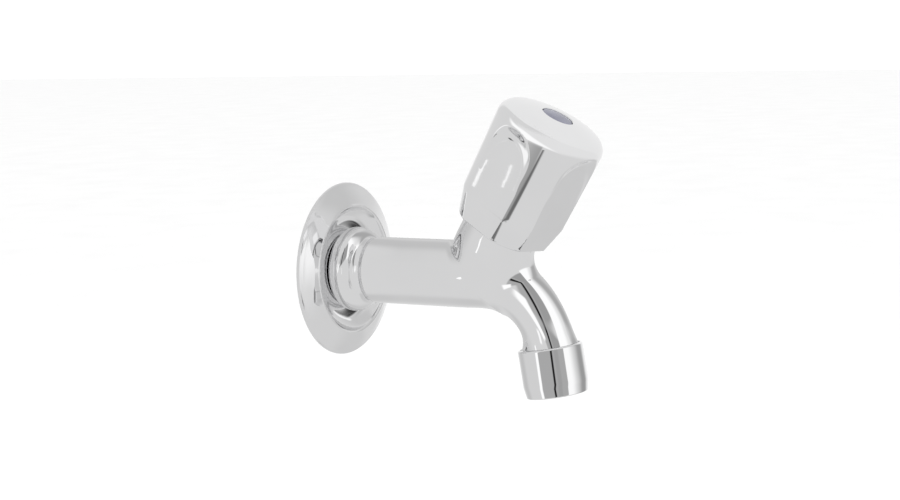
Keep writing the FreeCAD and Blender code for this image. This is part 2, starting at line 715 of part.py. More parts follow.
# ---------------------------------------------------------------- headwork
bonnet_turned = turned(
    "bonnet_turned",
    [
        (0, q("bonnet_bottom")),
        (q("bonnet_nose_radius") - 0.4, q("bonnet_bottom")),
        (q("bonnet_nose_radius"), q("bonnet_bottom") + 0.4),
        (q("bonnet_nose_radius"), q("bonnet_thread_start")),
        (q("bonnet_thread_radius"), q("bonnet_thread_start") + 0.8),
        (q("bonnet_thread_radius"), q("neck_top")),
        (q("bonnet_flange_radius"), q("neck_top")),
        (q("bonnet_flange_radius"), q("bonnet_flange_top")),
        (q("bonnet_tower_radius"), q("bonnet_flange_top")),
        (q("bonnet_tower_radius"), q("bonnet_top") - 0.6),
        (q("bonnet_tower_radius") - 0.6, q("bonnet_top")),
        (0, q("bonnet_top")),
    ],
)
bonnet_solid = fuse(
    "bonnet_solid",
    [bonnet_turned, hexagon("bonnet_spanner", q("bonnet_hexagon"), q("bonnet_flange_top") - 0.2, q("bonnet_hexagon_top"))],
)
bonnet_hollow = fuse(
    "bonnet_hollow",
    [
        hexagon("bonnet_guide", q("guide_hexagon"), q("bonnet_bottom") - 1, q("guide_top") + 0.1),
        cylinder("bonnet_drum_bore", q("drum_bore"), q("guide_top"), q("drum_bore_top")),
        cylinder("bonnet_stem_bore", q("stem_bore"), q("drum_bore_top") - 1, q("bonnet_top") + 1),
    ],
)
node("bonnet", cut("bonnet", bonnet_solid, bonnet_hollow), "headwork")

node(
    "bonnet_seal",
    turned(
        "bonnet_seal",
        [
            (q("bonnet_thread_radius") + 0.05, q("neck_top") - q("seal_thickness")),
            (q("seal_recess_radius") - 0.05, q("neck_top") - q("seal_thickness")),
            (q("seal_recess_radius") - 0.05, q("neck_top")),
            (q("bonnet_thread_radius") + 0.05, q("neck_top")),
        ],
    ),
    "headwork",
)

spindle = turned(
    "spindle",
    [
        (q("nut_bore"), q("drum_bottom")),
        (q("drum_radius") - 0.4, q("drum_bottom")),
        (q("drum_radius"), q("drum_bottom") + 0.4),
        (q("drum_radius"), q("drum_top")),
        (q("stem_radius"), q("drum_top")),
        (q("stem_radius"), q("ring_groove_low")),
        (q("stem_groove_radius"), q("ring_groove_low")),
        (q("stem_groove_radius"), q("ring_groove_low") + q("ring_groove_width")),
        (q("stem_radius"), q("ring_groove_low") + q("ring_groove_width")),
        (q("stem_radius"), q("ring_groove_high")),
        (q("stem_groove_radius"), q("ring_groove_high")),
        (q("stem_groove_radius"), q("ring_groove_high") + q("ring_groove_width")),
        (q("stem_radius"), q("ring_groove_high") + q("ring_groove_width")),
        (q("stem_radius"), q("clip_groove")),
        (q("clip_groove_radius"), q("clip_groove")),
        (q("clip_groove_radius"), q("clip_groove") + q("clip_groove_width")),
        (q("stem_radius"), q("clip_groove") + q("clip_groove_width")),
        (q("stem_radius"), q("tooth_start")),
        (q("tooth_radius"), q("tooth_start")),
        (q("tooth_radius"), q("spindle_top") - 0.5),
        (q("tooth_radius") - 0.5, q("spindle_top")),
        (q("tapping_radius"), q("spindle_top")),
        (q("tapping_radius"), q("tapping_bottom")),
        (0, q("tapping_bottom") - 1),
        (0, q("nut_bore_top")),
        (q("nut_bore"), q("nut_bore_top")),
    ],
)
pocket(
    spindle,
    "spindle_teeth",
    "XY_Plane",
    [
        (q("tooth_radius") - q("tooth_depth"), 0),
        (q("tooth_radius") + 0.1, -as_q(0.52)),
        (q("tooth_radius") + 0.1, 0.52),
    ],
    None,
    q("tooth_start"),
    q("spindle_top") + 1,
    q("tooth_count"),
)
node("spindle", spindle, "headwork")

rings = []
for word, low in (("low", q("ring_groove_low")), ("high", q("ring_groove_high"))):
    ring = doc.addObject("Part::Torus", "stem_ring_" + word)
    bind(ring, "Radius1", q("ring_pitch"))
    bind(ring, "Radius2", q("ring_section"))
    middle = low + q("ring_groove_width") * 0.5
    ring.Placement.Base = V(0, 0, middle.value)
    bind(ring, ".Placement.Base.z", middle)
    rings.append(ring)
pair = doc.addObject("Part::Compound", "spindle_o_rings")
pair.Links = rings
node("spindle_o_rings", pair, "headwork")

clip = turned(
    "spindle_circlip",
    [
        (q("clip_inner"), q("clip_groove") + 0.1),
        (q("clip_outer"), q("clip_groove") + 0.1),
        (q("clip_outer"), q("clip_groove") + 0.1 + q("clip_thickness")),
        (q("clip_inner"), q("clip_groove") + 0.1 + q("clip_thickness")),
    ],
)
half_gap = q("clip_gap") * 0.5
pocket(
    clip,
    "clip_opening",
    "XY_Plane",
    [(1, -half_gap), (q("clip_outer") + 2, -half_gap), (q("clip_outer") + 2, half_gap), (1, half_gap)],
    None,
    q("clip_groove") - 1,
    q("clip_groove") + 2,
)
node("spindle_circlip", clip, "headwork", 35.0)

node(
    "thrust_washer",
    turned(
        "thrust_washer",
        [
            (q("thrust_inner"), q("drum_top") + 0.04),
            (q("thrust_outer"), q("drum_top") + 0.04),
            (q("thrust_outer"), q("drum_top") + 0.04 + q("thrust_thickness")),
            (q("thrust_inner"), q("drum_top") + 0.04 + q("thrust_thickness")),
        ],
    ),
    "headwork",
)

carrier_turned = turned(
    "carrier_turned",
    [
        (0, q("cup_floor")),
        (q("cup_recess"), q("cup_floor")),
        (q("cup_recess"), q("cup_bottom")),
        (q("cup_radius"), q("cup_bottom")),
        (q("cup_radius"), q("cup_top") - 0.5),
        (q("cup_radius") - 0.5, q("cup_top")),
        (q("stud_radius"), q("cup_top")),
        (q("stud_radius"), q("stud_top") - 0.5),
        (q("stud_radius") - 0.5, q("stud_top")),
        (0, q("stud_top")),
    ],
)
carrier_solid = fuse(
    "carrier_solid",
    [carrier_turned, hexagon("carrier_guide", q("carrier_hexagon"), q("cup_top") - 0.5, q("carrier_hexagon_top"))],
)
node(
    "valve_carrier",
    cut("valve_carrier", carrier_solid, cylinder("carrier_tapping", q("carrier_tapping"), q("cup_floor") - 1, q("carrier_tapping_top"))),
    "headwork",
)

node(
    "valve_washer",
    turned(
        "valve_washer",
        [
            (q("washer_hole"), q("washer_lift") - q("seat_level")),
            (q("washer_radius") - 0.4, q("washer_lift") - q("seat_level")),
            (q("washer_radius"), q("washer_lift") - q("seat_level") + 0.4),
            (q("washer_radius"), q("cup_floor")),
            (q("washer_hole"), q("cup_floor")),
        ],
    ),
    "headwork",
)

head_low = q("washer_lift") - q("seat_level") - q("small_head_height")
small_screw = turned(
    "valve_washer_screw",
    [
        (0, head_low),
        (q("small_head_radius") - 0.5, head_low),
        (q("small_head_radius"), head_low + 0.5),
        (q("small_head_radius"), head_low + q("small_head_height")),
        (q("small_shank_radius"), head_low + q("small_head_height")),
        (q("small_shank_radius"), q("small_shank_top") - 0.4),
        (q("small_shank_radius") - 0.4, q("small_shank_top")),
        (0, q("small_shank_top")),
    ],
)
pocket(
    small_screw,
    "small_screw_slot",
    "XY_Plane",
    [(-as_q(4), -as_q(0.4)), (4, -as_q(0.4)), (4, 0.4), (-as_q(4), 0.4)],
    None,
    head_low - 1,
    head_low + 0.7,
)
node("valve_washer_screw", small_screw, "headwork", 20.0)

# -------------------------------------------------------------------- knob
knob = turned(
    "knob",
    [
        (q("skirt_bore"), q("knob_bottom")),
        (q("knob_edge_radius"), q("knob_bottom")),
        (q("knob_low_radius"), q("knob_low")),
        (q("knob_waist_radius"), q("knob_waist")),
        (q("knob_rim_radius"), q("knob_rim")),
        (q("knob_crown_radius"), q("knob_crown")),
        (q("button_recess") + 0.25, q("knob_top") - 0.33),
        (q("button_recess"), q("knob_top") - 0.6),
        (q("button_recess"), q("button_seat")),
        (q("head_way"), q("button_seat")),
        (q("head_way"), q("head_seat")),
        (q("screw_way"), q("head_seat")),
        (q("screw_way"), q("insert_top")),
        (q("insert_radius"), q("insert_top")),
        (q("insert_radius"), q("post_bottom")),
        (q("post_radius"), q("post_bottom")),
        (q("post_radius"), q("skirt_top") - 2),
        (q("post_radius") + 2, q("skirt_top")),
        (q("skirt_bore") - 2, q("skirt_top")),
        (q("skirt_bore"), q("skirt_top") - 2),
    ],
    {
        1: (q("knob_edge_round"), 1),
        4: (q("knob_rim_round"), 1),
        5: (q("knob_dome"), 1),
        16: (2, -1),
        18: (2, -1),
    },
)
pocket(
    knob,
    "knob_scallop",
    "XZ_Plane",
    [
        (q("scallop_low_depth"), q("scallop_foot")),
        (q("scallop_low_depth") + 20, q("scallop_foot")),
        (q("scallop_low_depth") + 20, q("scallop_end")),
        (q("scallop_end_depth"), q("scallop_end")),
        (q("scallop_high_depth"), q("scallop_arch")),
        (q("scallop_waist_depth"), q("knob_waist")),
    ],
    {3: (q("scallop_run_out"), 1)},
    None,
    None,
    q("scallop_count"),
    26.0,
)
node("knob", knob, "headwork", SIZE["knob_phase"])

insert = turned(
    "knob_insert",
    [
        (q("tooth_radius") - q("tooth_depth") + 0.11, q("insert_bottom")),
        (q("insert_radius"), q("insert_bottom")),
        (q("insert_radius"), q("insert_top")),
        (q("tooth_radius") - q("tooth_depth") + 0.11, q("insert_top")),
    ],
)
pocket(
    insert,
    "insert_teeth",
    "XY_Plane",
    [
        (q("tooth_radius") - q("tooth_depth") - 0.2, -as_q(0.746)),
        (q("tooth_radius") + 0.06, -as_q(0.182)),
        (q("tooth_radius") + 0.06, 0.182),
        (q("tooth_radius") - q("tooth_depth") - 0.2, 0.746),
    ],
    None,
    q("insert_bottom") - 1,
    q("insert_top") + 1,
    q("tooth_count"),
)
node("knob_insert", insert, "headwork", 9.0)

node(
    "knob_screw_washer",
    turned(
        "knob_screw_washer",
        [
            (q("lock_washer_inner"), q("head_seat")),
            (q("lock_washer_outer"), q("head_seat")),
            (q("lock_washer_outer"), q("head_seat") + q("lock_washer_thickness")),
            (q("lock_washer_inner"), q("head_seat") + q("lock_washer_thickness")),
        ],
    ),
    "headwork",
)

under_head = q("head_seat") + q("lock_washer_thickness")
screw = turned(
    "knob_screw",
    [
        (0, q("shank_bottom")),
        (q("shank_radius") - 0.5, q("shank_bottom")),
        (q("shank_radius"), q("shank_bottom") + 0.5),
        (q("shank_radius"), under_head),
        (q("head_radius"), under_head),
        (q("head_radius"), under_head + q("head_height") - 1.25),
        (0, under_head + q("head_height")),
    ],
    {5: (cap_radius(q("head_radius"), 1.25), 1)},
)
pocket(
    screw,
    "screw_slot",
    "XY_Plane",
    [
        (-as_q(2.4), -as_q(0.5)), (-as_q(0.5), -as_q(0.5)), (-as_q(0.5), -as_q(2.4)), (0.5, -as_q(2.4)),
        (0.5, -as_q(0.5)), (2.4, -as_q(0.5)), (2.4, 0.5), (0.5, 0.5),
        (0.5, 2.4), (-as_q(0.5), 2.4), (-as_q(0.5), 0.5), (-as_q(2.4), 0.5),
    ],
    None,
    under_head + 0.9,
    under_head + q("head_height") + 1,
)
node("knob_screw", screw, "headwork", 12.0)

node(
    "indice_button",
    turned(
        "indice_button",
        [
            (0, q("button_seat") + 0.6),
            (q("button_sleeve_bore"), q("button_seat") + 0.6),
            (q("button_sleeve_bore"), q("button_sleeve_bottom")),
            (q("button_sleeve"), q("button_sleeve_bottom")),
            (q("button_sleeve"), q("button_seat")),
            (q("button_radius"), q("button_seat")),
            (q("button_radius"), q("button_edge") - 0.2),
            (q("button_radius") - 0.2, q("button_edge")),
            (0, q("button_top")),
        ],
        {7: (cap_radius(q("button_radius") - 0.2, q("button_top") - q("button_edge")), 1)},
    ),
    "headwork",
)

# ----------------------------------------------------------------- aerator
node(
    "aerator_shell",
    turned(
        "aerator_shell",
        [
            (q("shell_thread_radius"), 0),
            (q("shell_thread_radius"), -q("shell_thread_end")),
            (q("shell_bore"), -q("shell_thread_end")),
            (q("shell_bore"), -q("shell_lip_depth")),
            (q("shell_lip"), -q("shell_lip_depth")),
            (q("shell_lip"), -q("shell_length")),
            (q("shell_mouth_radius"), -q("shell_length")),
            (q("shell_low_radius"), -q("shell_low")),
            (q("shell_radius"), -q("shell_taper")),
            (q("shell_radius"), -q("shell_edge")),
            (q("shell_radius") - q("shell_edge"), 0),
        ],
        {6: (0.55, 1)},
    ),
    "outlet",
)
node(
    "aerator_seal",
    turned(
        "aerator_seal",
        [
            (q("seal_ring_inner"), -q("seal_ring_bottom")),
            (q("seal_ring_outer"), -q("seal_ring_bottom")),
            (q("seal_ring_outer"), -q("seal_ring_top")),
            (q("seal_ring_inner"), -q("seal_ring_top")),
        ],
    ),
    "outlet",
)
node(
    "aerator_housing",
    turned(
        "aerator_housing",
        [
            (q("housing_plate_bore"), -q("housing_top")),
            (q("housing_plate_bore"), -q("housing_ledge")),
            (q("housing_bore"), -q("housing_ledge")),
            (q("housing_bore"), -q("housing_lip_depth")),
            (q("housing_lip_bore"), -q("housing_lip_depth")),
            (q("housing_lip_bore"), -q("housing_bottom")),
            (q("housing_nose_radius"), -q("housing_bottom")),
            (q("housing_nose_radius"), -q("housing_shoulder")),
            (q("housing_radius"), -q("housing_shoulder")),
            (q("housing_radius"), -q("housing_top")),
        ],
    ),
    "outlet",
)

plate = turned(
    "aerator_jet_plate",
    [
        (0, -q("jet_plate_top") - q("jet_plate_thickness")),
        (q("jet_plate_radius"), -q("jet_plate_top") - q("jet_plate_thickness")),
        (q("jet_plate_radius"), -q("jet_plate_top")),
        (0, -q("jet_plate_top")),
    ],
)


def ring_of_holes(body, name, pitch, radius, low, high, count):
    before = body.Shape.Volume
    sketch = sketch_on(body, name + "_profile", "XY_Plane")
    circle = Part.Circle(V(SIZE[pitch], 0, 0), V(0, 0, 1), SIZE[radius])
    geo = sketch.addGeometry(circle, False)
    sketch.addConstraint(Sketcher.Constraint("PointOnObject", geo, 3, -1))
    n = sketch.addConstraint(Sketcher.Constraint("DistanceX", -1, 1, geo, 3, SIZE[pitch]))
    sketch.setExpression("Constraints[%d]" % n, "Sizes." + pitch)
    n = sketch.addConstraint(Sketcher.Constraint("Radius", geo, SIZE[radius]))
    sketch.setExpression("Constraints[%d]" % n, "Sizes." + radius)
    sketch.AttachmentOffset = FreeCAD.Placement(V(0, 0, high.value), FreeCAD.Rotation())
    bind(sketch, ".AttachmentOffset.Base.z", high)
    hole = body.newObject("PartDesign::Pocket", name)
    hole.Profile = sketch
    bind(hole, "Length", high - low)
    doc.recompute()
    if body.Shape.Volume > before - 1e-6:
        hole.Reversed = not hole.Reversed
        doc.recompute()
    ring = body.newObject("PartDesign::PolarPattern", name + "_ring")
    ring.Originals = [hole]
    for feature in body.Origin.OriginFeatures:
        if feature.Role == "Z_Axis":
            ring.Axis = (feature, [""])
    ring.Angle = 360.0
    bind(ring, "Occurrences", q(count))
    body.Tip = ring
    doc.recompute()
    if body.Shape.Volume > before - SIZE[count] * 0.5:
        raise RuntimeError("holes are missing: " + name)


for word in ("outer", "inner"):
    ring_of_holes(
        plate,
        "jet_holes_" + word,
        "jet_%s_pitch" % word,
        "jet_hole_radius",
        -q("jet_plate_top") - q("jet_plate_thickness") - 1,
        -q("jet_plate_top") + 1,
        "jet_%s_count" % word,
    )
node("aerator_jet_plate", plate, "outlet")


def lattice(radius, rim, web, pitch, low, high):
    """A round rim crossed by two sets of webs."""
    tall = high - low
    disc = Part.makeCylinder(radius, tall, V(0, 0, low))
    ring = disc.cut(Part.makeCylinder(rim, tall, V(0, 0, low)))
    reach = rim + (radius - rim) / 2.0
    bars = []
    steps = int(rim / pitch)
    for i in range(-steps, steps + 1):
        off = i * pitch
        run = math.sqrt(reach * reach - (abs(off) + web / 2.0) ** 2)
        bars.append(Part.makeBox(2 * run, web, tall, V(-run, off - web / 2.0, low)))
        bars.append(Part.makeBox(web, 2 * run, tall, V(off - web / 2.0, -run, low)))
    return ring.fuse(bars).removeSplitter()


screens = doc.addObject("Part::Feature", "aerator_screens")
screens.Shape = Part.makeCompound(
    [
        lattice(
            SIZE["screen_radius"], SIZE["screen_rim"], SIZE["screen_wire"], SIZE["screen_pitch"],
            -SIZE[level] - SIZE["screen_wire"], -SIZE[level],
        )
        for level in ("screen_first", "screen_second")
    ]
)
node("aerator_screens", screens, "outlet")

straightener = doc.addObject("Part::Feature", "flow_straightener")
straightener.Shape = lattice(
    SIZE["grid_radius"], SIZE["grid_rim"], SIZE["grid_web"], SIZE["grid_pitch"],
    -SIZE["grid_bottom"], -SIZE["grid_top"],
)
node("flow_straightener", straightener, "outlet", 30.0)

# ------------------------------------------------------------------ checks
doc.recompute()
bad = []
for obj in doc.Objects:
    if "Invalid" in obj.State or "Error" in obj.State:
        bad.append("%s %s" % (obj.Name, obj.State))
EXPECTED = {"spindle_o_rings": 2, "aerator_screens": 2}
for name, obj in sorted(NODES.items()):
    shape = obj.Shape
    if shape.isNull() or not shape.isValid():
        bad.append(name + " has no valid shape")
        continue
    if len(shape.Solids) != EXPECTED.get(name, 1):
        bad.append("%s has %d solids" % (name, len(shape.Solids)))
    print("%-20s volume %9.1f mm3, %d solids, %d faces" % (name, shape.Volume, len(shape.Solids), len(shape.Faces)))
if bad:
    print("\n".join(bad))
    sys.exit(1)

os.makedirs("parts", exist_ok=True)
for name, obj in sorted(NODES.items()):
    obj.Shape.exportStep(os.path.join("parts", name + ".step"))
print("wrote %d parts" % len(NODES))
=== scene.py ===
import json
import math

import bmesh
import bpy
import numpy as np
from mathutils import Matrix, Vector


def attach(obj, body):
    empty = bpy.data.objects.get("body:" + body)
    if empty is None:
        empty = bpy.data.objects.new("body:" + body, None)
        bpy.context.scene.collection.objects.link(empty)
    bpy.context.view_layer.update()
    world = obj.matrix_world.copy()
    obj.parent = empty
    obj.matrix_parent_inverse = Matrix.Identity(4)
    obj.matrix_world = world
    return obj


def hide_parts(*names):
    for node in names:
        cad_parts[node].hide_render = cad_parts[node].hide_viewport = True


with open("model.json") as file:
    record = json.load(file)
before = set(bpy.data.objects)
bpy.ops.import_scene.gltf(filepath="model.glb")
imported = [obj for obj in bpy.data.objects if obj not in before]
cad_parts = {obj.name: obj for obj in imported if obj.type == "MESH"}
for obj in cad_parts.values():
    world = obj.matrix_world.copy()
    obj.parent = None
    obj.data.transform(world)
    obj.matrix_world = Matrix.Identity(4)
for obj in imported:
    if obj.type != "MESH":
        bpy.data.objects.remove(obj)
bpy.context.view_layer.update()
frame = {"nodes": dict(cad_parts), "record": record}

# Bib tap: looks.  Metres, the row frame: +Z up, the wall is y = 0, the tap
# stands out of it towards -Y, x = 0 is its plane of symmetry.  The visible
# chromed pieces get finer skins than the construction's own meshes; all of
# their sizes below are in millimetres.

MM = 0.001
scene = bpy.context.scene
NODES = frame["nodes"]
BODY_OF = {}
for subpart in frame["record"]["subparts"]:
    BODY_OF[subpart["node"]] = None
for body, nodes in frame["record"]["behaviour"]["bodies"].items():
    for name in nodes:
        BODY_OF[name] = body
SLOT_OF = {s["node"]: s["material_slot"] for s in frame["record"]["subparts"]}
PI = math.pi


# ------------------------------------------------------------------ camera
def make_camera():
    azimuth, elevation, roll = map(math.radians, (-59.64, 6.878, -1.692))
    distance, focal, width = 0.73666, 1968.35, 900
    target = Vector((0.0, -0.047251, 0.008714))
    back = Vector(
        (
            math.sin(azimuth) * math.cos(elevation),
            -math.cos(azimuth) * math.cos(elevation),
            math.sin(elevation),
        )
    )
    right = Vector((math.cos(azimuth), math.sin(azimuth), 0.0))
    up = back.cross(right)
    r2 = math.cos(roll) * right + math.sin(roll) * up
    u2 = -math.sin(roll) * right + math.cos(roll) * up
    data = bpy.data.cameras.new("camera")
    data.sensor_fit = "HORIZONTAL"
    data.sensor_width = 36.0
    data.lens = focal / width * 36.0
    data.clip_start, data.clip_end = 0.02, 60.0
    camera = bpy.data.objects.new("camera", data)
    scene.collection.objects.link(camera)
    m = Matrix((r2, u2, back)).transposed().to_4x4()
    m.translation = target + back * distance
    camera.matrix_world = m
    scene.camera = camera
    return back


TOWARDS_CAMERA = make_camera()
scene.view_settings.view_transform = "Standard"
scene.view_settings.look = "None"


# ---------------------------------------------------------- outlines, turned
def outline(points, arcs=None, rounds=None, step=7.0):
    """A polyline (r, z) through the points.  arcs: {i: (radius, side)} bends the
    stretch from point i to i + 1; rounds: {i: size} softens corner i."""
    arcs, rounds = arcs or {}, rounds or {}
    line, corner = [np.array(points[0], float)], {0: 0}
    for i in range(len(points) - 1):
        p, q = np.array(points[i], float), np.array(points[i + 1], float)
        if i in arcs:
            radius, side = arcs[i]
            d = q - p
            length = np.hypot(*d)
            left = np.array([-d[1], d[0]]) / length
            c = (p + q) / 2 + left * side * math.sqrt(max(radius**2 - length**2 / 4, 0.0))
            a0, a1 = math.atan2(*(p - c)[::-1]), math.atan2(*(q - c)[::-1])
            turn = (a1 - a0 + PI) % (2 * PI) - PI
            n = max(2, int(math.ceil(abs(math.degrees(turn)) / step)))
            for k in range(1, n):
                a = a0 + turn * k / n
                line.append(c + radius * np.array([math.cos(a), math.sin(a)]))
        line.append(q)
        corner[i + 1] = len(line) - 1
    if not rounds:
        return np.array(line)
    soft = {corner[i]: size for i, size in rounds.items()}
    out = []
    for j, p in enumerate(line):
        if j not in soft:
            out.append((j, p))
            continue
        ends = []
        for way in (-1, 1):
            left, at, k = soft[j], p, j
            while True:
                k2 = k + way
                if k2 < 0 or k2 >= len(line):
                    break
                span = np.hypot(*(line[k2] - at))
                if span > left:
                    at = at + (line[k2] - at) * (left / span)
                    break
                left -= span
                at, k = line[k2], k2
            ends.append((k, at))
        out.append((j, None, ends, p))
    # drop the polyline's points that a softened corner swallows
    gone = set()
    for item in out:
        if len(item) == 4:
            (k0, _), (k1, _) = item[2]
            gone |= set(range(k0, item[0])) | set(range(item[0] + 1, k1 + 1))
    final = []
    for item in out:
        if item[0] in gone and len(item) == 2:
            continue
        if len(item) == 2:
            final.append(item[1])
        else:
            (_, a), (_, b) = item[2]
            for t in (0.0, 0.2, 0.4, 0.6, 0.8, 1.0):
                final.append((1 - t) ** 2 * a + 2 * t * (1 - t) * item[3] + t**2 * b)
    return np.array(final)


class Skin:
    """Collects grids of points with their normals, welds them and makes an object."""

    def __init__(self):
        self.points, self.faces, self.normals = [], [], []
        self.count = 0

    def add(self, points, faces, normals):
        """faces: (n, k) indices into points; normals: (n, k, 3)."""
        faces = np.asarray(faces, int)
        self.points.append(np.asarray(points, float))
        self.faces.append(faces + self.count)
        self.normals.append(np.array(normals, float).reshape(faces.shape + (3,)))
        self.count += len(points)

    def grid(self, points, low, high=None):
        """points (n, m, 3), closed along m.  low, high: normals (n - 1, m, 3) at the
        two ends of each strip; or low alone, (n, m, 3), shared by the strips."""
        n, m = points.shape[:2]
        if high is None:
            low, high = low[:-1], low[1:]
        index = np.arange(n * m).reshape(n, m)
        nxt = np.roll(index, -1, axis=1)
        faces = np.stack([index[:-1], nxt[:-1], nxt[1:], index[1:]], axis=-1).reshape(-1, 4)
        normals = np.stack([low, np.roll(low, -1, axis=1), np.roll(high, -1, axis=1), high], axis=2)
        self.add(points.reshape(-1, 3), faces, normals.reshape(-1, 4, 3))

    def lathe(self, line, angles, place, sharp=24.0):
        """Turns the polyline (r, z), material on its left, about place's z axis."""
        d = np.diff(line, axis=0)
        length = np.hypot(d[:, 0], d[:, 1])
        out = np.stack([d[:, 1], -d[:, 0]], axis=1) / length[:, None]
        start, end = out.copy(), out.copy()
        for j in range(1, len(line) - 1):
            if out[j - 1] @ out[j] > math.cos(math.radians(sharp)):
                # the normal of the circle through the three points
                w = out[j - 1] * length[j] + out[j] * length[j - 1]
                w /= np.hypot(*w)
                end[j - 1] = start[j] = w
        cos, sin = np.cos(angles), np.sin(angles)

        def turned(rz):
            return np.stack(
                [rz[:, None, 0] * cos, rz[:, None, 0] * sin, np.repeat(rz[:, None, 1], len(angles), 1)], axis=-1
            )

        base, axes = place
        self.grid(turned(line) @ axes + base, turned(start) @ axes, turned(end) @ axes)

    def make(self, node, material):
        """Welds the patches and puts the skin in the construction node's place."""
        points = np.concatenate(self.points)
        key = np.round(points * 5000.0).astype(np.int64)
        _, first, back = np.unique(key, axis=0, return_index=True, return_inverse=True)
        back = back.reshape(-1)
        points = points[first]
        corners, sizes, normals = [], [], []
        for faces, vectors in zip(self.faces, self.normals):
            ids = back[faces]
            k = ids.shape[1]
            twins = ids == np.roll(ids, -1, axis=1)
            whole = ~twins.any(axis=1)
            p = points[ids[whole]]
            if k == 3:
                flat = np.cross(p[:, 1] - p[:, 0], p[:, 2] - p[:, 0])
            else:
                flat = np.cross(p[:, 2] - p[:, 0], p[:, 3] - p[:, 1])
            turned = (flat * vectors[whole].sum(axis=1)).sum(axis=1) < 0
            good, ns = ids[whole], vectors[whole]
            good[turned] = good[turned, ::-1]
            ns[turned] = ns[turned, ::-1]
            corners.append(good.reshape(-1))
            normals.append(ns.reshape(-1, 3))
            sizes += [k] * len(good)
            # quads with one collapsed side, at a pole
            for f, v, twin in zip(ids[~whole], vectors[~whole], twins[~whole]):
                f, v = f[~twin], v[~twin]
                if len(f) < 3 or len(set(f.tolist())) < 3:
                    continue
                q = points[f]
                if np.cross(q[1] - q[0], q[2] - q[0]) @ v.sum(axis=0) < 0:
                    f, v = f[::-1], v[::-1]
                corners.append(f)
                normals.append(v)
                sizes.append(len(f))
        corners, sizes = np.concatenate(corners), np.array(sizes)
        starts = np.concatenate([[0], np.cumsum(sizes)[:-1]])
        mesh = bpy.data.meshes.new(node + "_skin")
        mesh.vertices.add(len(points))
        mesh.vertices.foreach_set("co", (points * MM).reshape(-1))
        mesh.loops.add(len(corners))
        mesh.loops.foreach_set("vertex_index", corners)
        mesh.polygons.add(len(sizes))
        mesh.polygons.foreach_set("loop_start", starts)
        mesh.polygons.foreach_set("use_smooth", [True] * len(sizes))
        mesh.update(calc_edges=True)
        flat = np.concatenate(normals)
        flat /= np.maximum(np.linalg.norm(flat, axis=1), 1e-9)[:, None]
        mesh.normals_split_custom_set(flat)
        mesh.update()
        obj = bpy.data.objects.new(node + "_skin", mesh)
        scene.collection.objects.link(obj)
        obj.data.materials.append(material)
        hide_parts(node)
        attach(obj, BODY_OF[node])
        after = np.arange(len(corners)) + 1
        after[starts + sizes - 1] = starts
        pair = np.sort(np.stack([corners, corners[after]], axis=1), axis=1)
        _, times = np.unique(pair, axis=0, return_counts=True)
        print("skin", node, len(points), "points", len(sizes), "faces", int((times != 2).sum()), "edges not shared by two")
        return obj


def frame_of(origin, lean):
    """(origin, rows x, y, z) of a frame turned by lean degrees about world x."""
    a = math.radians(lean)
    return np.array(origin, float), np.array(
        [[1, 0, 0], [0, math.cos(a), math.sin(a)], [0, -math.sin(a), math.cos(a)]], float
    )


INLET = frame_of((0, 0, 0), -90.0)          # local z = world y
HEAD = frame_of((0, -59.604, 0), 30.16)     # local z = up the headwork
OUTLET = frame_of((0, -88.411, -25.171), -8.655)  # local z = up out of the outlet
EVEN = np.linspace(0, 2 * PI, 256, endpoint=False)


# ------------------------------------------------------------------ splines
def spline(t, values):
    """Natural cubic spline; returns f(x) -> (value, first, second derivative)."""
    t, values = np.asarray(t, float), np.asarray(values, float)
    h = np.diff(t)
    n = len(t)
    a = np.zeros((n, n))
    a[0, 0] = a[-1, -1] = 1
    b = np.zeros_like(values)
    for i in range(1, n - 1):
        a[i, i - 1 : i + 2] = h[i - 1], 2 * (h[i - 1] + h[i]), h[i]
        b[i] = 6 * ((values[i + 1] - values[i]) / h[i] - (values[i] - values[i - 1]) / h[i - 1])
    m = np.linalg.solve(a, b)

    def at(x):
        i = np.clip(np.searchsorted(t, x, side="right") - 1, 0, n - 2)
        hh, u = h[i], x - t[i]
        shape = (-1,) + (1,) * (values.ndim - 1)
        hh, u = hh.reshape(shape), u.reshape(shape)
        p, q, mp, mq = values[i], values[i + 1], m[i], m[i + 1]
        slope = (q - p) / hh - hh * (2 * mp + mq) / 6
        value = p + u * slope + u**2 * mp / 2 + u**3 * (mq - mp) / (6 * hh)
        first = slope + u * mp + u**2 * (mq - mp) / (2 * hh)
        second = mp + u * (mq - mp) / hh
        return value, first, second

    return at


# -------------------------------------------------------- the casting's skin
TUBE = 12.584
STATIONS = [
    (-54.0, 0.0, TUBE), (-58.5, -0.25, 12.30), (-63.04, -0.95, 11.67), (-69.35, -2.44, 10.90),
    (-74.56, -4.76, 10.22), (-78.77, -7.68, 9.67), (-82.09, -11.0, 9.30), (-84.61, -14.49, 9.10),
    (-86.45, -17.94, 9.12), (-87.70, -21.15, 9.40), (-88.411, -25.171, 10.35),
]


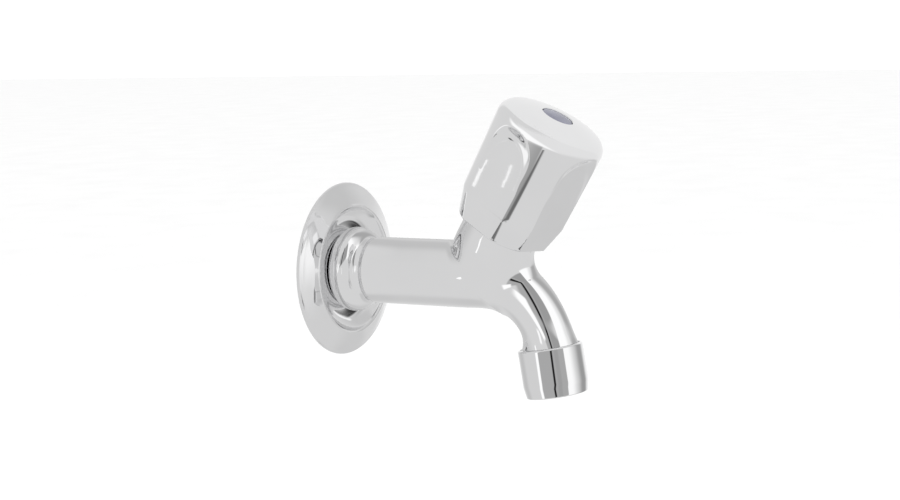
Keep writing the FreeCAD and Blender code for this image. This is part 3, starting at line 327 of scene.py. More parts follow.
def centre_line():
    """The spout's centre line and radius, smoothed between its stations."""
    down = math.radians(8.655)
    way = np.array([-math.sin(down), -math.cos(down), 0.36])
    path = [(-26.0 - 2.0 * i, 0.0, TUBE) for i in range(14)] + STATIONS
    path += [tuple(np.array(STATIONS[-1]) + way * s) for s in (3.0, 6.0)]
    path = np.array(path)
    t = np.concatenate([[0], np.cumsum(np.hypot(*np.diff(path[:, :2], axis=0).T))])
    dense = np.linspace(0, t[-1], 300)
    coarse = np.stack([np.interp(dense, t, path[:, k]) for k in range(3)], axis=1)
    pull = np.zeros((len(dense), len(dense)))
    want = np.zeros((len(dense), 3))
    step = dense[1]
    for i, p in enumerate(path):
        x = t[i] / step
        j = min(int(x), len(dense) - 2)
        row = np.zeros(len(dense))
        row[j], row[j + 1] = 1 - (x - j), x - j
        weight = 60.0 if (i < 14 or i >= len(path) - 3) else 1.0
        pull += weight * np.outer(row, row)
        want += weight * np.outer(row, p)
    third = np.diff(np.eye(len(dense)), 3, axis=0)
    smooth = np.linalg.solve(pull + 1e5 * third.T @ third, want)
    return spline(dense, smooth), dense, smooth


PATH, PATH_T, PATH_XY = centre_line()
NECK = spline(
    [-6, 0, 5, 10, 15, 19.5, 24, 28],
    [(10.3, 13.1), (11.7, 13.8), (12.9, 14.3), (14.0, 14.45), (14.4, 14.4), (14.36, 14.36), (14.3, 14.3), (14.25, 14.25)],
)


def casting(p, t=None, slope_too=False):
    """Signed distance, roughly, to tube, spout and neck blended; and the path value."""
    flat = p[:, 1:]
    if t is None:
        t = np.empty(len(p))
        for a in range(0, len(p), 40000):
            q = flat[a : a + 40000]
            d = (q[:, :1] - PATH_XY[None, :, 0]) ** 2 + (q[:, 1:] - PATH_XY[None, :, 1]) ** 2
            t[a : a + 40000] = PATH_T[np.argmin(d, axis=1)]
    for _ in range(3):
        c, c1, c2 = PATH(t)
        e = flat - c[:, :2]
        g = (e * c1[:, :2]).sum(1)
        bend = (e * c2[:, :2]).sum(1) - (c1[:, :2] ** 2).sum(1)
        t = np.clip(t - g / np.minimum(bend, -0.2), PATH_T[0], PATH_T[-1])
    c, c1, c2 = PATH(t)
    e = np.concatenate([p[:, :1], flat - c[:, :2]], axis=1)
    r = np.linalg.norm(e, axis=1)
    a = r - c[:, 2]
    na = e / np.maximum(r, 1e-6)[:, None]
    # the neck
    base, axes = HEAD
    q = (p - base) @ axes.T
    u, v, s = q.T
    (wd, wd1, _) = NECK(np.clip(s, -5.9, 27.9))
    w, d = wd.T
    w1, d1 = wd1.T
    rho = np.sqrt((u / w) ** 2 + (v / d) ** 2)
    rho = np.maximum(rho, 1e-6)
    gu, gv = u / (w**2 * rho), v / (d**2 * rho)
    gs = -(u**2 * w1 / w**3 + v**2 * d1 / d**3) / rho
    size = np.sqrt(gu**2 + gv**2 + gs**2)
    b = (rho - 1) / size
    nb = np.stack([gu, gv, gs], axis=1) @ axes / size[:, None]
    low = -s - 2.0
    b = np.maximum(b, low)
    # rolling ball blend, wider at the front than in the crotch
    towards = v / np.maximum(np.hypot(u, v), 1e-6)
    span = 2.1 + 5.0 * ((1 - towards) / 2) ** 3
    cosine = np.clip((na * nb).sum(1), -0.8, 0.995)
    radius = span * np.sqrt((1 + cosine) / (1 - cosine))
    A, B = a - radius, b - radius
    inside = (A - cosine * B < 0) & (B - cosine * A < 0)
    h = np.maximum((A**2 + B**2 - 2 * cosine * A * B) / (1 - cosine**2), 0)
    f = np.where(inside, radius - np.sqrt(h), np.minimum(a, b))
    if not slope_too:
        return f, t
    mixed = -(A - cosine * B)[:, None] * na - (B - cosine * A)[:, None] * nb
    n = np.where(inside[:, None], mixed, np.where((a < b)[:, None], na, nb))
    return f, t, n / np.maximum(np.linalg.norm(n, axis=1), 1e-9)[:, None]


def gradient(p, t):
    g = np.empty_like(p)
    for k in range(3):
        step = np.zeros(3)
        step[k] = 0.02
        g[:, k] = casting(p + step, t)[0] - casting(p - step, t)[0]
    return g / np.maximum(np.linalg.norm(g, axis=1), 1e-9)[:, None]


def settle(p, t=None, rounds=4):
    for _ in range(rounds):
        f, t, n = casting(p, t, True)
        p = p - n * f[:, None]
    return p, t


def skin_net(cell):
    """Surface net over the casting's distance field: points, quads."""
    x = np.arange(-17, 17 + cell, cell)
    x -= x[len(x) // 2] + cell / 2
    y = np.arange(-101, -26, cell)
    z = np.arange(-31, 30, cell)
    shape = len(x), len(y), len(z)
    # exact values only near the surface: a coarse look first
    every = 4
    coarse = np.stack(np.meshgrid(x[::every], y[::every], z[::every], indexing="ij"), axis=-1)
    rough = casting(coarse.reshape(-1, 3))[0].reshape(coarse.shape[:3])
    near = [np.clip(np.round(np.arange(n) / every).astype(int), 0, m - 1) for n, m in zip(shape, rough.shape)]
    field = rough[np.ix_(*near)]
    close = np.abs(field) < 5.0 * cell
    close[x > cell] = False
    grid = np.argwhere(close)
    p = np.stack([x[grid[:, 0]], y[grid[:, 1]], z[grid[:, 2]]], axis=1)
    field[close] = casting(p)[0]
    for i, value in enumerate(x):
        if value > cell:
            field[i] = field[np.argmin(abs(x + value))]
    low = field < 0
    cells = np.zeros((shape[0] - 1, shape[1] - 1, shape[2] - 1), int)
    for i in (0, 1):
        for j in (0, 1):
            for k in (0, 1):
                cells += low[i : i + shape[0] - 1, j : j + shape[1] - 1, k : k + shape[2] - 1]
    mixed = (cells > 0) & (cells < 8)
    index = np.full(mixed.shape, -1)
    index[mixed] = np.arange(mixed.sum())
    at = np.argwhere(mixed)
    points = np.stack([x[at[:, 0]], y[at[:, 1]], z[at[:, 2]]], axis=1) + cell / 2
    quads = []
    for axis in range(3):
        a = [slice(None)] * 3
        b = [slice(None)] * 3
        a[axis], b[axis] = slice(0, -1), slice(1, None)
        crossing = low[tuple(a)] != low[tuple(b)]
        where = np.argwhere(crossing)
        o1, o2 = [k for k in range(3) if k != axis]
        keep = (where[:, o1] > 0) & (where[:, o2] > 0)
        keep &= (where[:, o1] < shape[o1] - 1) & (where[:, o2] < shape[o2] - 1)
        where = where[keep]
        ring = []
        for s1, s2 in ((1, 1), (0, 1), (0, 0), (1, 0)):
            c = where.copy()
            c[:, o1] -= s1
            c[:, o2] -= s2
            ring.append(index[c[:, 0], c[:, 1], c[:, 2]])
        quads.append(np.stack(ring, axis=1))
    quads = np.concatenate(quads)
    quads = quads[(quads >= 0).all(axis=1)]
    return points, quads


def cut_by(points, faces, planes):
    """Keeps the side each plane's normal points away from; returns points, faces."""
    bm = bmesh.new()
    made = [bm.verts.new(p) for p in points.tolist()]
    for f in faces:
        bm.faces.new([made[i] for i in f])
    for co, no in planes:
        geometry = bm.verts[:] + bm.edges[:] + bm.faces[:]
        bmesh.ops.bisect_plane(
            bm, geom=geometry, dist=1e-5, plane_co=co.tolist(), plane_no=no.tolist(), clear_outer=True
        )
    bm.verts.index_update()
    new = np.array([v.co[:] for v in bm.verts])
    left = [[v.index for v in f.verts] for f in bm.faces]
    bm.free()
    return new, left


def whitworth(turns):
    """Rounded thread form, 0 at the root and 1 at the crest, over turns."""
    x = np.abs((turns % 1.0) - 0.5) * 2
    return 1.0 - np.clip(x * 1.5 - 0.25, 0, 1) ** 2 * (3 - 2 * np.clip(x * 1.5 - 0.25, 0, 1))


def threaded(skin, heights, angles, place, radius):
    """A patch of threaded surface: radius(height, angle) -> r."""
    h, a = np.meshgrid(heights, angles, indexing="ij")
    r = radius(h, a)
    base, axes = place

    def point(hh, aa, rr):
        return np.stack([rr * np.cos(aa), rr * np.sin(aa), hh], axis=-1)

    e = 0.004
    along = point(h + e, a, radius(h + e, a)) - point(h - e, a, radius(h - e, a))
    around = point(h, a + e / 10, radius(h, a + e / 10)) - point(h, a - e / 10, radius(h, a - e / 10))
    normal = np.cross(around, along)
    normal /= np.linalg.norm(normal, axis=-1)[..., None]
    skin.grid(point(h, a, r) @ axes + base, normal @ axes)
    return r[0], r[-1]


def flat_ring(skin, z, inner, outer, angles, place, up):
    """Annulus between two sets of radii at the same angles."""
    base, axes = place
    rows = []
    for r in (inner, outer):
        r = np.broadcast_to(r, angles.shape)
        rows.append(np.stack([r * np.cos(angles), r * np.sin(angles), np.full(len(angles), z)], axis=-1))
    normal = np.zeros((2, len(angles), 3))
    normal[..., 2] = up
    skin.grid(np.stack(rows) @ axes + base, normal @ axes)


def sew(skin, loop_a, loop_b, place, up):
    """Flat annulus between two loops whose points don't match; local normal +-z."""
    base, axes = place

    def sort(loop):
        q = (loop - base) @ axes.T
        a = np.arctan2(q[:, 1], q[:, 0])
        order = np.argsort(a)
        return loop[order], a[order]

    a, ta = sort(loop_a)
    b, tb = sort(loop_b)
    points = np.concatenate([a, b])
    i = j = 0
    faces = []
    while i < len(a) or j < len(b):
        ai, bj = i % len(a), j % len(b) + len(a)
        next_a = ta[(i + 1) % len(a)] + (2 * PI if i + 1 >= len(a) else 0)
        next_b = tb[(j + 1) % len(b)] + (2 * PI if j + 1 >= len(b) else 0)
        if j >= len(b) or (i < len(a) and next_a <= next_b):
            faces.append((ai, (i + 1) % len(a), bj))
            i += 1
        else:
            faces.append((ai, (j + 1) % len(b) + len(a), bj))
            j += 1
    normal = np.array([0, 0, up], float) @ axes
    skin.add(points, faces, np.broadcast_to(normal, (len(faces), 3, 3)))


def loops_of(faces, points):
    """Open boundary loops as arrays of points."""
    use = {}
    for f in faces:
        for a, b in zip(f, list(f[1:]) + [f[0]]):
            e = (min(a, b), max(a, b))
            use[e] = use.get(e, 0) + 1
    near = {}
    for (a, b), n in use.items():
        if n == 1:
            near.setdefault(a, []).append(b)
            near.setdefault(b, []).append(a)
    loops, seen = [], set()
    for start in near:
        if start in seen:
            continue
        stack, ring = [start], []
        while stack:
            v = stack.pop()
            if v in seen:
                continue
            seen.add(v)
            ring.append(v)
            stack += near[v]
        loops.append(points[ring])
    return loops


def cad_inside(name, test):
    """Welded points, faces (and smooth normals) of a construction mesh where test holds."""
    mesh = NODES[name].data
    m = np.array(NODES[name].matrix_world)
    p = np.empty(len(mesh.vertices) * 3)
    mesh.vertices.foreach_get("co", p)
    p = p.reshape(-1, 3) @ m[:3, :3].T + m[:3, 3]
    p /= MM
    corner = np.empty(len(mesh.loops) * 3)
    mesh.corner_normals.foreach_get("vector", corner)
    corner = corner.reshape(-1, 3) @ m[:3, :3].T
    faces, normals = [], []
    key = np.round(p * 2000.0).astype(np.int64)
    _, first, back = np.unique(key, axis=0, return_index=True, return_inverse=True)
    back = back.reshape(-1)
    p = p[first]
    chosen = []
    for f in mesh.polygons:
        ids = [int(back[i]) for i in f.vertices]
        if len(set(ids)) == len(ids):
            chosen.append((ids, corner[f.loop_start : f.loop_start + f.loop_total]))
    centre = np.array([p[ids].mean(axis=0) for ids, _ in chosen])
    keep = test(centre)
    faces = [c[0] for c, k in zip(chosen, keep) if k]
    normals = [c[1] for c, k in zip(chosen, keep) if k]
    return p, faces, normals


def make_tap_body(material):
    skin = Skin()
    cell = 0.55
    points, quads = skin_net(cell)
    points, t = settle(points)
    # even the net out along the surface
    for _ in range(3):
        total, count = np.zeros_like(points), np.zeros(len(points))
        for a in range(4):
            np.add.at(total, quads[:, a], points[quads[:, (a + 1) % 4]] + points[quads[:, a - 1]])
            np.add.at(count, quads[:, a], 2)
        points = 0.5 * points + 0.5 * total / np.maximum(count, 1)[:, None]
        points, t = settle(points, t, 2)
    up = HEAD[1][2]
    neck_cut = 19.0
    planes = [
        (np.array([0, -30.0, 0]), np.array([0, 1.0, 0])),
        (HEAD[0] + up * neck_cut, up),
        (OUTLET[0], -OUTLET[1][2]),
    ]
    points, faces = cut_by(points, quads.tolist(), planes)
    # the ends' exact circles
    ends = {}
    for label, (co, no), place in zip(("tube", "neck", "outlet"), planes, (INLET, HEAD, OUTLET)):
        on = np.abs((points - co) @ no) < 1e-3
        if label == "tube":
            on &= points[:, 2] < 20
        base, axes = place
        q = (points[on] - base) @ axes.T
        angle = np.arctan2(q[:, 1], q[:, 0])
        height = {"tube": -30.0, "neck": neck_cut, "outlet": 0.0}[label]
        if label == "neck":
            w, d = NECK(np.array([neck_cut]))[0][0]
            r = 1 / np.sqrt((np.cos(angle) / w) ** 2 + (np.sin(angle) / d) ** 2)
        else:
            r = np.full(len(angle), TUBE if label == "tube" else 10.35)
        ring = np.stack([r * np.cos(angle), r * np.sin(angle), np.full(len(r), height)], axis=1) @ axes + base
        points[on] = ring
        ends[label] = np.sort(angle)
    f, t = casting(points)
    g = gradient(points, t)
    fans = [f for f in faces if len(f) > 4]
    plain_faces = [f for f in faces if len(f) <= 4]
    plain_faces += [[f[0], f[i], f[i + 1]] for f in fans for i in range(1, len(f) - 1)]
    for n in (3, 4):
        some = np.array([f for f in plain_faces if len(f) == n])
        if len(some):
            skin.add(points, some, g[some])
    # turned end: tube, groove, bead, relief
    angles = ends["tube"]
    line = outline(
        [
            (TUBE, -30.0), (TUBE, -15.7), (11.9, -14.1), (11.9, -11.7), (13.3, -10.35), (13.0, -1.0),
            (9.2, -1.0), (9.2, 0.0),
        ],
        {1: (1.6, 1), 3: (2.2, -1), 4: (5.1, 1)},
        {2: 0.18, 4: 0.2, 5: 0.15},
        4.0,
    )
    skin.lathe(line, angles, INLET)
    crest, root, pitch = 10.4775, 9.3155, 1.814

    def inlet_thread(h, a):
        r = root + (crest - root) * whitworth(h / pitch - a / (2 * PI))
        end = 10.4775 - np.clip(h - 12.75, 0, None) * 0.9
        return np.minimum(r, np.maximum(end, 9.2))

    heights = np.concatenate([np.arange(0.0, 13.6, pitch / 14), [13.75, 14.0, 14.2]])
    first, last = threaded(skin, heights, angles, INLET, inlet_thread)
    flat_ring(skin, 0.0, 9.2, first, angles, INLET, -1)
    # neck: top of the skin, land inside the knob's skirt
    angles_n = ends["neck"]
    base, axes = HEAD
    rows, normals = [], []
    for s in np.linspace(neck_cut, 20.7, 5):
        (wd, wd1, _) = NECK(np.array([s]))
        (w, d), (w1, d1) = wd[0], wd1[0]
        c, n = np.cos(angles_n), np.sin(angles_n)
        r = 1 / np.sqrt((c / w) ** 2 + (n / d) ** 2)
        u, v = r * c, r * n
        rows.append(np.stack([u, v, np.full(len(u), s)], axis=1))
        normals.append(np.stack([u / w**2, v / d**2, -(u**2 * w1 / w**3 + v**2 * d1 / d**3)], axis=1))
    normals = np.array(normals)
    normals /= np.linalg.norm(normals, axis=-1)[..., None]
    skin.grid(np.array(rows) @ axes + base, normals @ axes)
    top = np.linalg.norm(rows[-1][:, :2], axis=1)
    flat_ring(skin, 20.7, 13.4, top, angles_n, HEAD, 1)
    line = outline([(13.4, 20.7), (13.4, 23.4), (12.8, 24.0)][::-1])
    skin.lathe(line, angles_n, HEAD)
    # outlet: end face, root, threaded nipple
    angles_o = ends["outlet"]
    line = outline([(9.6, -0.3), (9.6, 0.0)])
    skin.lathe(line, angles_o, OUTLET)
    flat_ring(skin, 0.0, 9.6, 10.35, angles_o, OUTLET, -1)

    def outlet_thread(h, a):
        r = 10.42 + 0.43 * whitworth(h - a / (2 * PI))
        return np.minimum(r, np.maximum(10.85 - np.clip(-7.4 - h, 0, None), 10.2))

    heights = np.concatenate([[-8.0, -7.9], np.arange(-7.8, -0.4, 0.12), [-0.3]])
    low, high = threaded(skin, heights, angles_o, OUTLET, outlet_thread)
    flat_ring(skin, -0.3, 9.6, high, angles_o, OUTLET, 1)
    # waterway, from the construction's mesh
    def inner(c):
        out = OUTLET[0]
        deep = (c - out) @ OUTLET[1][2]
        from_outlet = np.linalg.norm((c - out) - deep[:, None] * OUTLET[1][2], axis=1)
        head = (c - HEAD[0]) @ HEAD[1].T
        from_head = np.hypot(head[:, 0], head[:, 1])
        from_inlet = np.hypot(c[:, 0], c[:, 2])
        keep = casting(c)[0] < -1.3
        keep &= ~((c[:, 1] > -16.5) & (from_inlet > 7.42))
        keep &= ~((deep < 0.05) & (deep > -9) & (c[:, 1] < -70) & (from_outlet > 7.63))
        keep |= (c[:, 1] > -30) & (from_inlet < 7.45) & (c[:, 1] < 14.19)
        keep |= (deep < 0.1) & (deep > -7.99) & (from_outlet < 7.63)
        # the recess and thread at the neck's top
        keep |= (head[:, 2] > 10) & (head[:, 2] < 23.99) & (from_head < 11.75)
        keep &= ~((head[:, 2] > 20.0) & (from_head > 11.75))
        keep &= ~((np.abs(c[:, 1] - 14.2) < 1e-3) & (from_inlet > 7.0))
        return keep

    p, faces, normals = cad_inside("tap_body", inner)
    for n in (3, 4):
        which = [i for i, f in enumerate(faces) if len(f) == n]
        if which:
            skin.add(p, [faces[i] for i in which], [normals[i] for i in which])
    for loop in loops_of(faces, p):
        c = loop.mean(axis=0)
        for label, place, z, ring_angles, ring_r, side in (
            ("inlet", INLET, 14.2, angles, last, 1),
            ("neck", HEAD, 24.0, angles_n, 12.8, 1),
            ("outlet", OUTLET, -8.0, angles_o, low, -1),
        ):
            base, axes = place
            q = (loop - base) @ axes.T
            if len(loop) > 8 and np.abs(q[:, 2] - z).max() < 0.02:
                r = np.broadcast_to(ring_r, ring_angles.shape)
                outer = np.stack(
                    [r * np.cos(ring_angles), r * np.sin(ring_angles), np.full(len(r), z)], axis=1
                ) @ axes + base
                sew(skin, outer, loop, place, side)
                print("sewn", label, len(loop))
                break
        else:
            print("open loop", len(loop), c.round(2), np.ptp(loop, axis=0).round(2))
    return skin.make("tap_body", material)


# ------------------------------------------------------------- wall flange
def make_flange(material):
    skin = Skin()
    line = outline(
        [
            (10.8, 0), (10.8, -1.0), (18.7, -1.0), (23.85, -4.55), (25.2, -4.72), (32.64, -1.15),
            (33.14, -0.45), (33.14, 0), (32.04, 0), (25.1, -3.57), (24.6, -3.55), (19.05, 0), (10.8, 0),
        ],
        {2: (6.4, -1), 3: (0.85, 1), 4: (34.0, 1), 5: (0.75, 1), 10: (5.9, 1)},
        {1: 0.2, 2: 0.8, 3: 0.25, 4: 0.2, 6: 0.1, 7: 0.15, 8: 0.12},
        3.0,
    )
    skin.lathe(line, EVEN, INLET)
    return skin.make("wall_flange", material)


# ----------------------------------------------------------- aerator shell
def make_shell(material):
    skin = Skin()
    points = [
        (10.95, 0), (10.95, -9.2), (10.2, -9.2), (10.2, -16.9), (9.4, -16.9), (9.4, -18.0),
        (10.88, -18.0), (11.39, -17.5), (12.0, -13.8), (12.0, -0.5), (11.5, 0), (10.95, 0),
    ]
    line = outline(points, {6: (0.55, 1)}, {5: 0.15, 8: 0.9, 9: 0.18, 10: 0.15}, 5.0)
    skin.lathe(line, EVEN, OUTLET)
    return skin.make("aerator_shell", material)


# -------------------------------------------------------------------- knob
def soft_min(a, b, k):
    h = np.clip(0.5 + 0.5 * (b - a) / k, 0, 1)
    return b + (a - b) * h - k * h * (1 - h)


def make_knob(material):
    skin = Skin()
    phase = math.radians(-9.9)
    quarter = np.concatenate(
        [
            np.arange(-45, -31, 1.5), np.arange(-31, -24, 0.25), np.arange(-24, 24, 0.75),
            np.arange(24, 31, 0.25), np.arange(31, 44.9, 1.5),
        ]
    )
    angles = np.radians(np.concatenate([quarter + 90 * i for i in range(4)])) + phase
    angles = np.sort(angles % (2 * PI))
    # distance of a scallop's floor from the axis, by height
    cut_s = np.array([15, 30.13, 43.0, 60.0, 70.0])
    cut_d = np.array([17.63 - 15.13 * 0.187, 17.63, 17.70, 17.85, 17.9])

    def scallop(s, turn):
        floor = np.interp(s, cut_s, cut_d)
        # soften the change of slope where the lower taper ends
        for o in (0.08, 0.16, 0.24):
            floor = floor + np.interp(s - o, cut_s, cut_d) + np.interp(s + o, cut_s, cut_d)
        floor = floor / 7
        h = np.clip(20.053 + 0.45 - s, 0, 0.45)
        floor = floor - (0.45 - np.sqrt(0.45**2 - h**2))
        # the arched wall that closes it
        across = floor * np.tan(turn)
        reach = np.sqrt(1.6 * across**2 + np.maximum(s - 46.0, 0) ** 2) - 10.0
        rise = np.clip(reach, 0, 5.9)
        wall = 6.5 - np.sqrt(6.5**2 - rise**2) + np.maximum(reach - 5.9, 0) * 2.1
        fade = np.clip((s - 40.0) / 7.0, 0, 1)
        return floor + wall * fade**2 * (3 - 2 * fade)

    body_line = outline(
        [(14.95, 20.053), (16.77, 20.053), (17.573, 20.852), (19.975, 30.13), (20.718, 61.07), (17.216, 65.845), (6.2, 68.135)],
        {1: (0.8, 1), 4: (5.0, 1), 5: (57.86, 1)},
        {3: 0.7},
        5.0,
    )
    # add rows where the arches need them
    rows = [body_line[0]]
    for a, b in zip(body_line[:-1], body_line[1:]):
        span = b[1] - a[1]
        gap = 0.6 if a[1] < 45 else 0.25
        if a[1] > 61 or b[1] < 20.1:
            gap = 9
        n = max(1, int(math.ceil(abs(span) / gap)))
        rows += [a + (b - a) * k / n for k in range(1, n + 1)]
    rows = np.array(rows)

    def radius(r, s, a):
        turn = (a - phase + PI / 4) % (PI / 2) - PI / 4
        cut = scallop(s, turn) / np.cos(turn)
        k = np.clip((s - 45) / 11, 0, 1)
        k = 0.16 + 1.5 * k**2 * (3 - 2 * k)
        return np.where(s < 63.5, soft_min(r, cut, k), r)

    outer = rows[1:]                       # from the bottom edge to the dome's end
    t = np.concatenate([[0], np.cumsum(np.hypot(*np.diff(outer, axis=0).T))])

    def surface(tt, aa):
        r = np.interp(tt, t, outer[:, 0])
        s = np.interp(tt, t, outer[:, 1])
        rr = radius(r, s, aa)
        return np.stack([rr * np.cos(aa), rr * np.sin(aa), s], axis=-1)

    tt, aa = np.meshgrid(t, angles, indexing="ij")
    points = surface(tt, aa)
    e = 0.05
    along = surface(np.minimum(tt + e, t[-1]), aa) - surface(np.maximum(tt - e, 0), aa)
    around = surface(tt, aa + 0.001) - surface(tt, aa - 0.001)
    normal = np.cross(around, along)
    normal /= np.linalg.norm(normal, axis=-1)[..., None]
    base, axes = HEAD
    skin.grid(points @ axes + base, normal @ axes)
    first_r = np.hypot(points[0, :, 0], points[0, :, 1])
    flat_ring(skin, 20.053, 14.95, first_r, angles, HEAD, -1)
    inside = outline(
        [
            (6.2, 68.135), (5.95, 67.865), (5.95, 66.1), (4.6, 66.1), (4.6, 53.2), (2.3, 53.2), (2.3, 49.0),
            (5.6, 49.0), (5.6, 38.4), (8.0, 38.4), (8.0, 56.0), (10.0, 58.0), (12.95, 58.0), (14.95, 56.0),
            (14.95, 20.053),
        ],
        {10: (2.0, -1), 12: (2.0, -1)},
        {1: 0.12, 9: 0.15},
        10.0,
    )
    skin.lathe(inside, angles, HEAD)
    return skin.make("knob", material)


# ------------------------------------------------------------- node helper
class Graph:
    """Short words for building a node tree."""

    def __init__(self, tree):
        self.tree = tree
        tree.nodes.clear()

    def node(self, kind, **props):
        n = self.tree.nodes.new(kind)
        for key, value in props.items():
            setattr(n, key, value)
        return n

    def link(self, a, b):
        self.tree.links.new(a, b)

    def put(self, socket, item):
        if isinstance(item, bpy.types.NodeSocket):
            self.link(item, socket)
        else:
            socket.default_value = item

    def math(self, op, a, b=None, c=None, clamp=False):
        n = self.node("ShaderNodeMath", operation=op, use_clamp=clamp)
        for i, item in enumerate((a, b, c)):
            if item is not None:
                self.put(n.inputs[i], item)
        return n.outputs[0]

    def smooth(self, x, a, b, to0=0.0, to1=1.0, kind="SMOOTHSTEP"):
        n = self.node("ShaderNodeMapRange", interpolation_type=kind)
        self.put(n.inputs["Value"], x)
        n.inputs["From Min"].default_value = a
        n.inputs["From Max"].default_value = b
        n.inputs["To Min"].default_value = to0
        n.inputs["To Max"].default_value = to1
        return n.outputs[0]

    def mix(self, f, a, b):
        n = self.node("ShaderNodeMix", data_type="FLOAT")
        self.put(n.inputs[0], f)
        self.put(n.inputs[2], a)
        self.put(n.inputs[3], b)
        return n.outputs[0]

    def mix_colour(self, f, a, b, blend="MIX"):
        n = self.node("ShaderNodeMix", data_type="RGBA", blend_type=blend)
        self.put(n.inputs[0], f)
        self.put(n.inputs[6], a)
        self.put(n.inputs[7], b)
        return n.outputs[2]

    def ramp(self, x, stops):
        n = self.node("ShaderNodeValToRGB")
        e = n.color_ramp.elements
        while len(e) > 1:
            e.remove(e[-1])
        e[0].position, e[0].color = stops[0][0], (*stops[0][1], 1)
        for position, colour in stops[1:]:
            s = e.new(position)
            s.color = (*colour, 1)
        self.put(n.inputs[0], x)
        return n.outputs[0]


# --------------------------------------------------------------- materials
CHROME_BASE = 0.84


def material(name):
    m = bpy.data.materials.new(name)
    m.use_nodes = True
    g = Graph(m.node_tree)
    shader = g.node("ShaderNodeBsdfPrincipled")
    out = g.node("ShaderNodeOutputMaterial")
    g.link(shader.outputs[0], out.inputs["Surface"])
    return m, g, shader


def noise(g, where, scale, detail=3.0, rough=0.5):
    n = g.node("ShaderNodeTexNoise")
    g.link(where, n.inputs["Vector"])
    n.inputs["Scale"].default_value = scale
    n.inputs["Detail"].default_value = detail
    n.inputs["Roughness"].default_value = rough
    return n.outputs["Fac"]


def chrome(name, base=(CHROME_BASE, CHROME_BASE, CHROME_BASE * 1.006), rough=(0.012, 0.04), bump_strength=0.02):
    m, g, shader = material(name)
    place = g.node("ShaderNodeTexCoord").outputs["Object"]
    broad = noise(g, place, 60.0, 2.0)
    fine = noise(g, place, 900.0, 4.0, 0.6)
    low = tuple(c * 0.988 for c in base)
    high = tuple(min(1.0, c * 1.01) for c in base)
    g.put(shader.inputs["Base Color"], g.ramp(broad, [(0.3, low), (0.7, high)]))
    shader.inputs["Metallic"].default_value = 1.0
    both = g.math("ADD", g.math("MULTIPLY", broad, 0.5), g.math("MULTIPLY", fine, 0.5))
    g.put(shader.inputs["Roughness"], g.smooth(both, 0.3, 0.7, rough[0], rough[1], "LINEAR"))
    bump = g.node("ShaderNodeBump")
    bump.inputs["Strength"].default_value = bump_strength
    bump.inputs["Distance"].default_value = 0.00002
    g.put(bump.inputs["Height"], fine)
    g.link(bump.outputs[0], shader.inputs["Normal"])
    return m


def plain(name, low, high, rough, metallic=0.0, grain=700.0, bump=0.15, coat=0.0, ior=1.5, stretch=None):
    """A named finish: two close colours, roughness and a fine relief from noise."""
    m, g, shader = material(name)
    place = g.node("ShaderNodeTexCoord").outputs["Object"]
    if stretch:
        scale = g.node("ShaderNodeMapping")
        g.link(place, scale.inputs["Vector"])
        scale.inputs["Scale"].default_value = stretch
        place = scale.outputs[0]
    broad = noise(g, place, grain / 6, 3.0)
    fine = noise(g, place, grain, 5.0, 0.6)
    g.put(shader.inputs["Base Color"], g.ramp(broad, [(0.3, low), (0.7, high)]))
    shader.inputs["Metallic"].default_value = metallic
    shader.inputs["IOR"].default_value = ior
    shader.inputs["Coat Weight"].default_value = coat
    shader.inputs["Coat Roughness"].default_value = 0.06
    g.put(shader.inputs["Roughness"], g.smooth(fine, 0.3, 0.7, rough[0], rough[1], "LINEAR"))
    b = g.node("ShaderNodeBump")
    b.inputs["Strength"].default_value = bump
    b.inputs["Distance"].default_value = 0.00005
    g.put(b.inputs["Height"], fine)
    g.link(b.outputs[0], shader.inputs["Normal"])
    return m


def casting_material():
    """Chrome outside; bare machined brass on the inlet thread and in the waterway."""
    m, g, shader = material("chrome_casting")
    place = g.node("ShaderNodeTexCoord").outputs["Object"]
    parts = g.node("ShaderNodeSeparateXYZ")
    g.link(place, parts.inputs[0])
    broad = noise(g, place, 60.0, 2.0)
    fine = noise(g, place, 900.0, 4.0, 0.6)
    ragged = g.math("ADD", parts.outputs[1], g.math("MULTIPLY", broad, 0.0012))
    behind = g.smooth(ragged, 0.0004, 0.0016)
    x2 = g.math("MULTIPLY", parts.outputs[0], parts.outputs[0])
    z2 = g.math("MULTIPLY", parts.outputs[2], parts.outputs[2])
    from_axis = g.math("SQRT", g.math("ADD", x2, z2))
    in_bore = g.math("MULTIPLY", g.smooth(from_axis, 0.0079, 0.0075), g.smooth(parts.outputs[1], -0.030, -0.026))
    bare = g.math("MAXIMUM", behind, in_bore)
    plated = g.ramp(broad, [(0.3, (0.83, 0.83, 0.835)), (0.7, (0.848, 0.848, 0.853))])
    brass = g.ramp(broad, [(0.3, (0.66, 0.49, 0.24)), (0.7, (0.76, 0.59, 0.31))])
    g.put(shader.inputs["Base Color"], g.mix_colour(bare, plated, brass))
    shader.inputs["Metallic"].default_value = 1.0
    both = g.math("ADD", g.math("MULTIPLY", broad, 0.5), g.math("MULTIPLY", fine, 0.5))
    shiny = g.smooth(both, 0.3, 0.7, 0.012, 0.04, "LINEAR")
    dull = g.smooth(both, 0.3, 0.7, 0.2, 0.34, "LINEAR")
    g.put(shader.inputs["Roughness"], g.mix(bare, shiny, dull))
    bump = g.node("ShaderNodeBump")
    g.put(bump.inputs["Strength"], g.mix(bare, 0.02, 0.3))
    bump.inputs["Distance"].default_value = 0.00002
    g.put(bump.inputs["Height"], fine)
    g.link(bump.outputs[0], shader.inputs["Normal"])
    return m


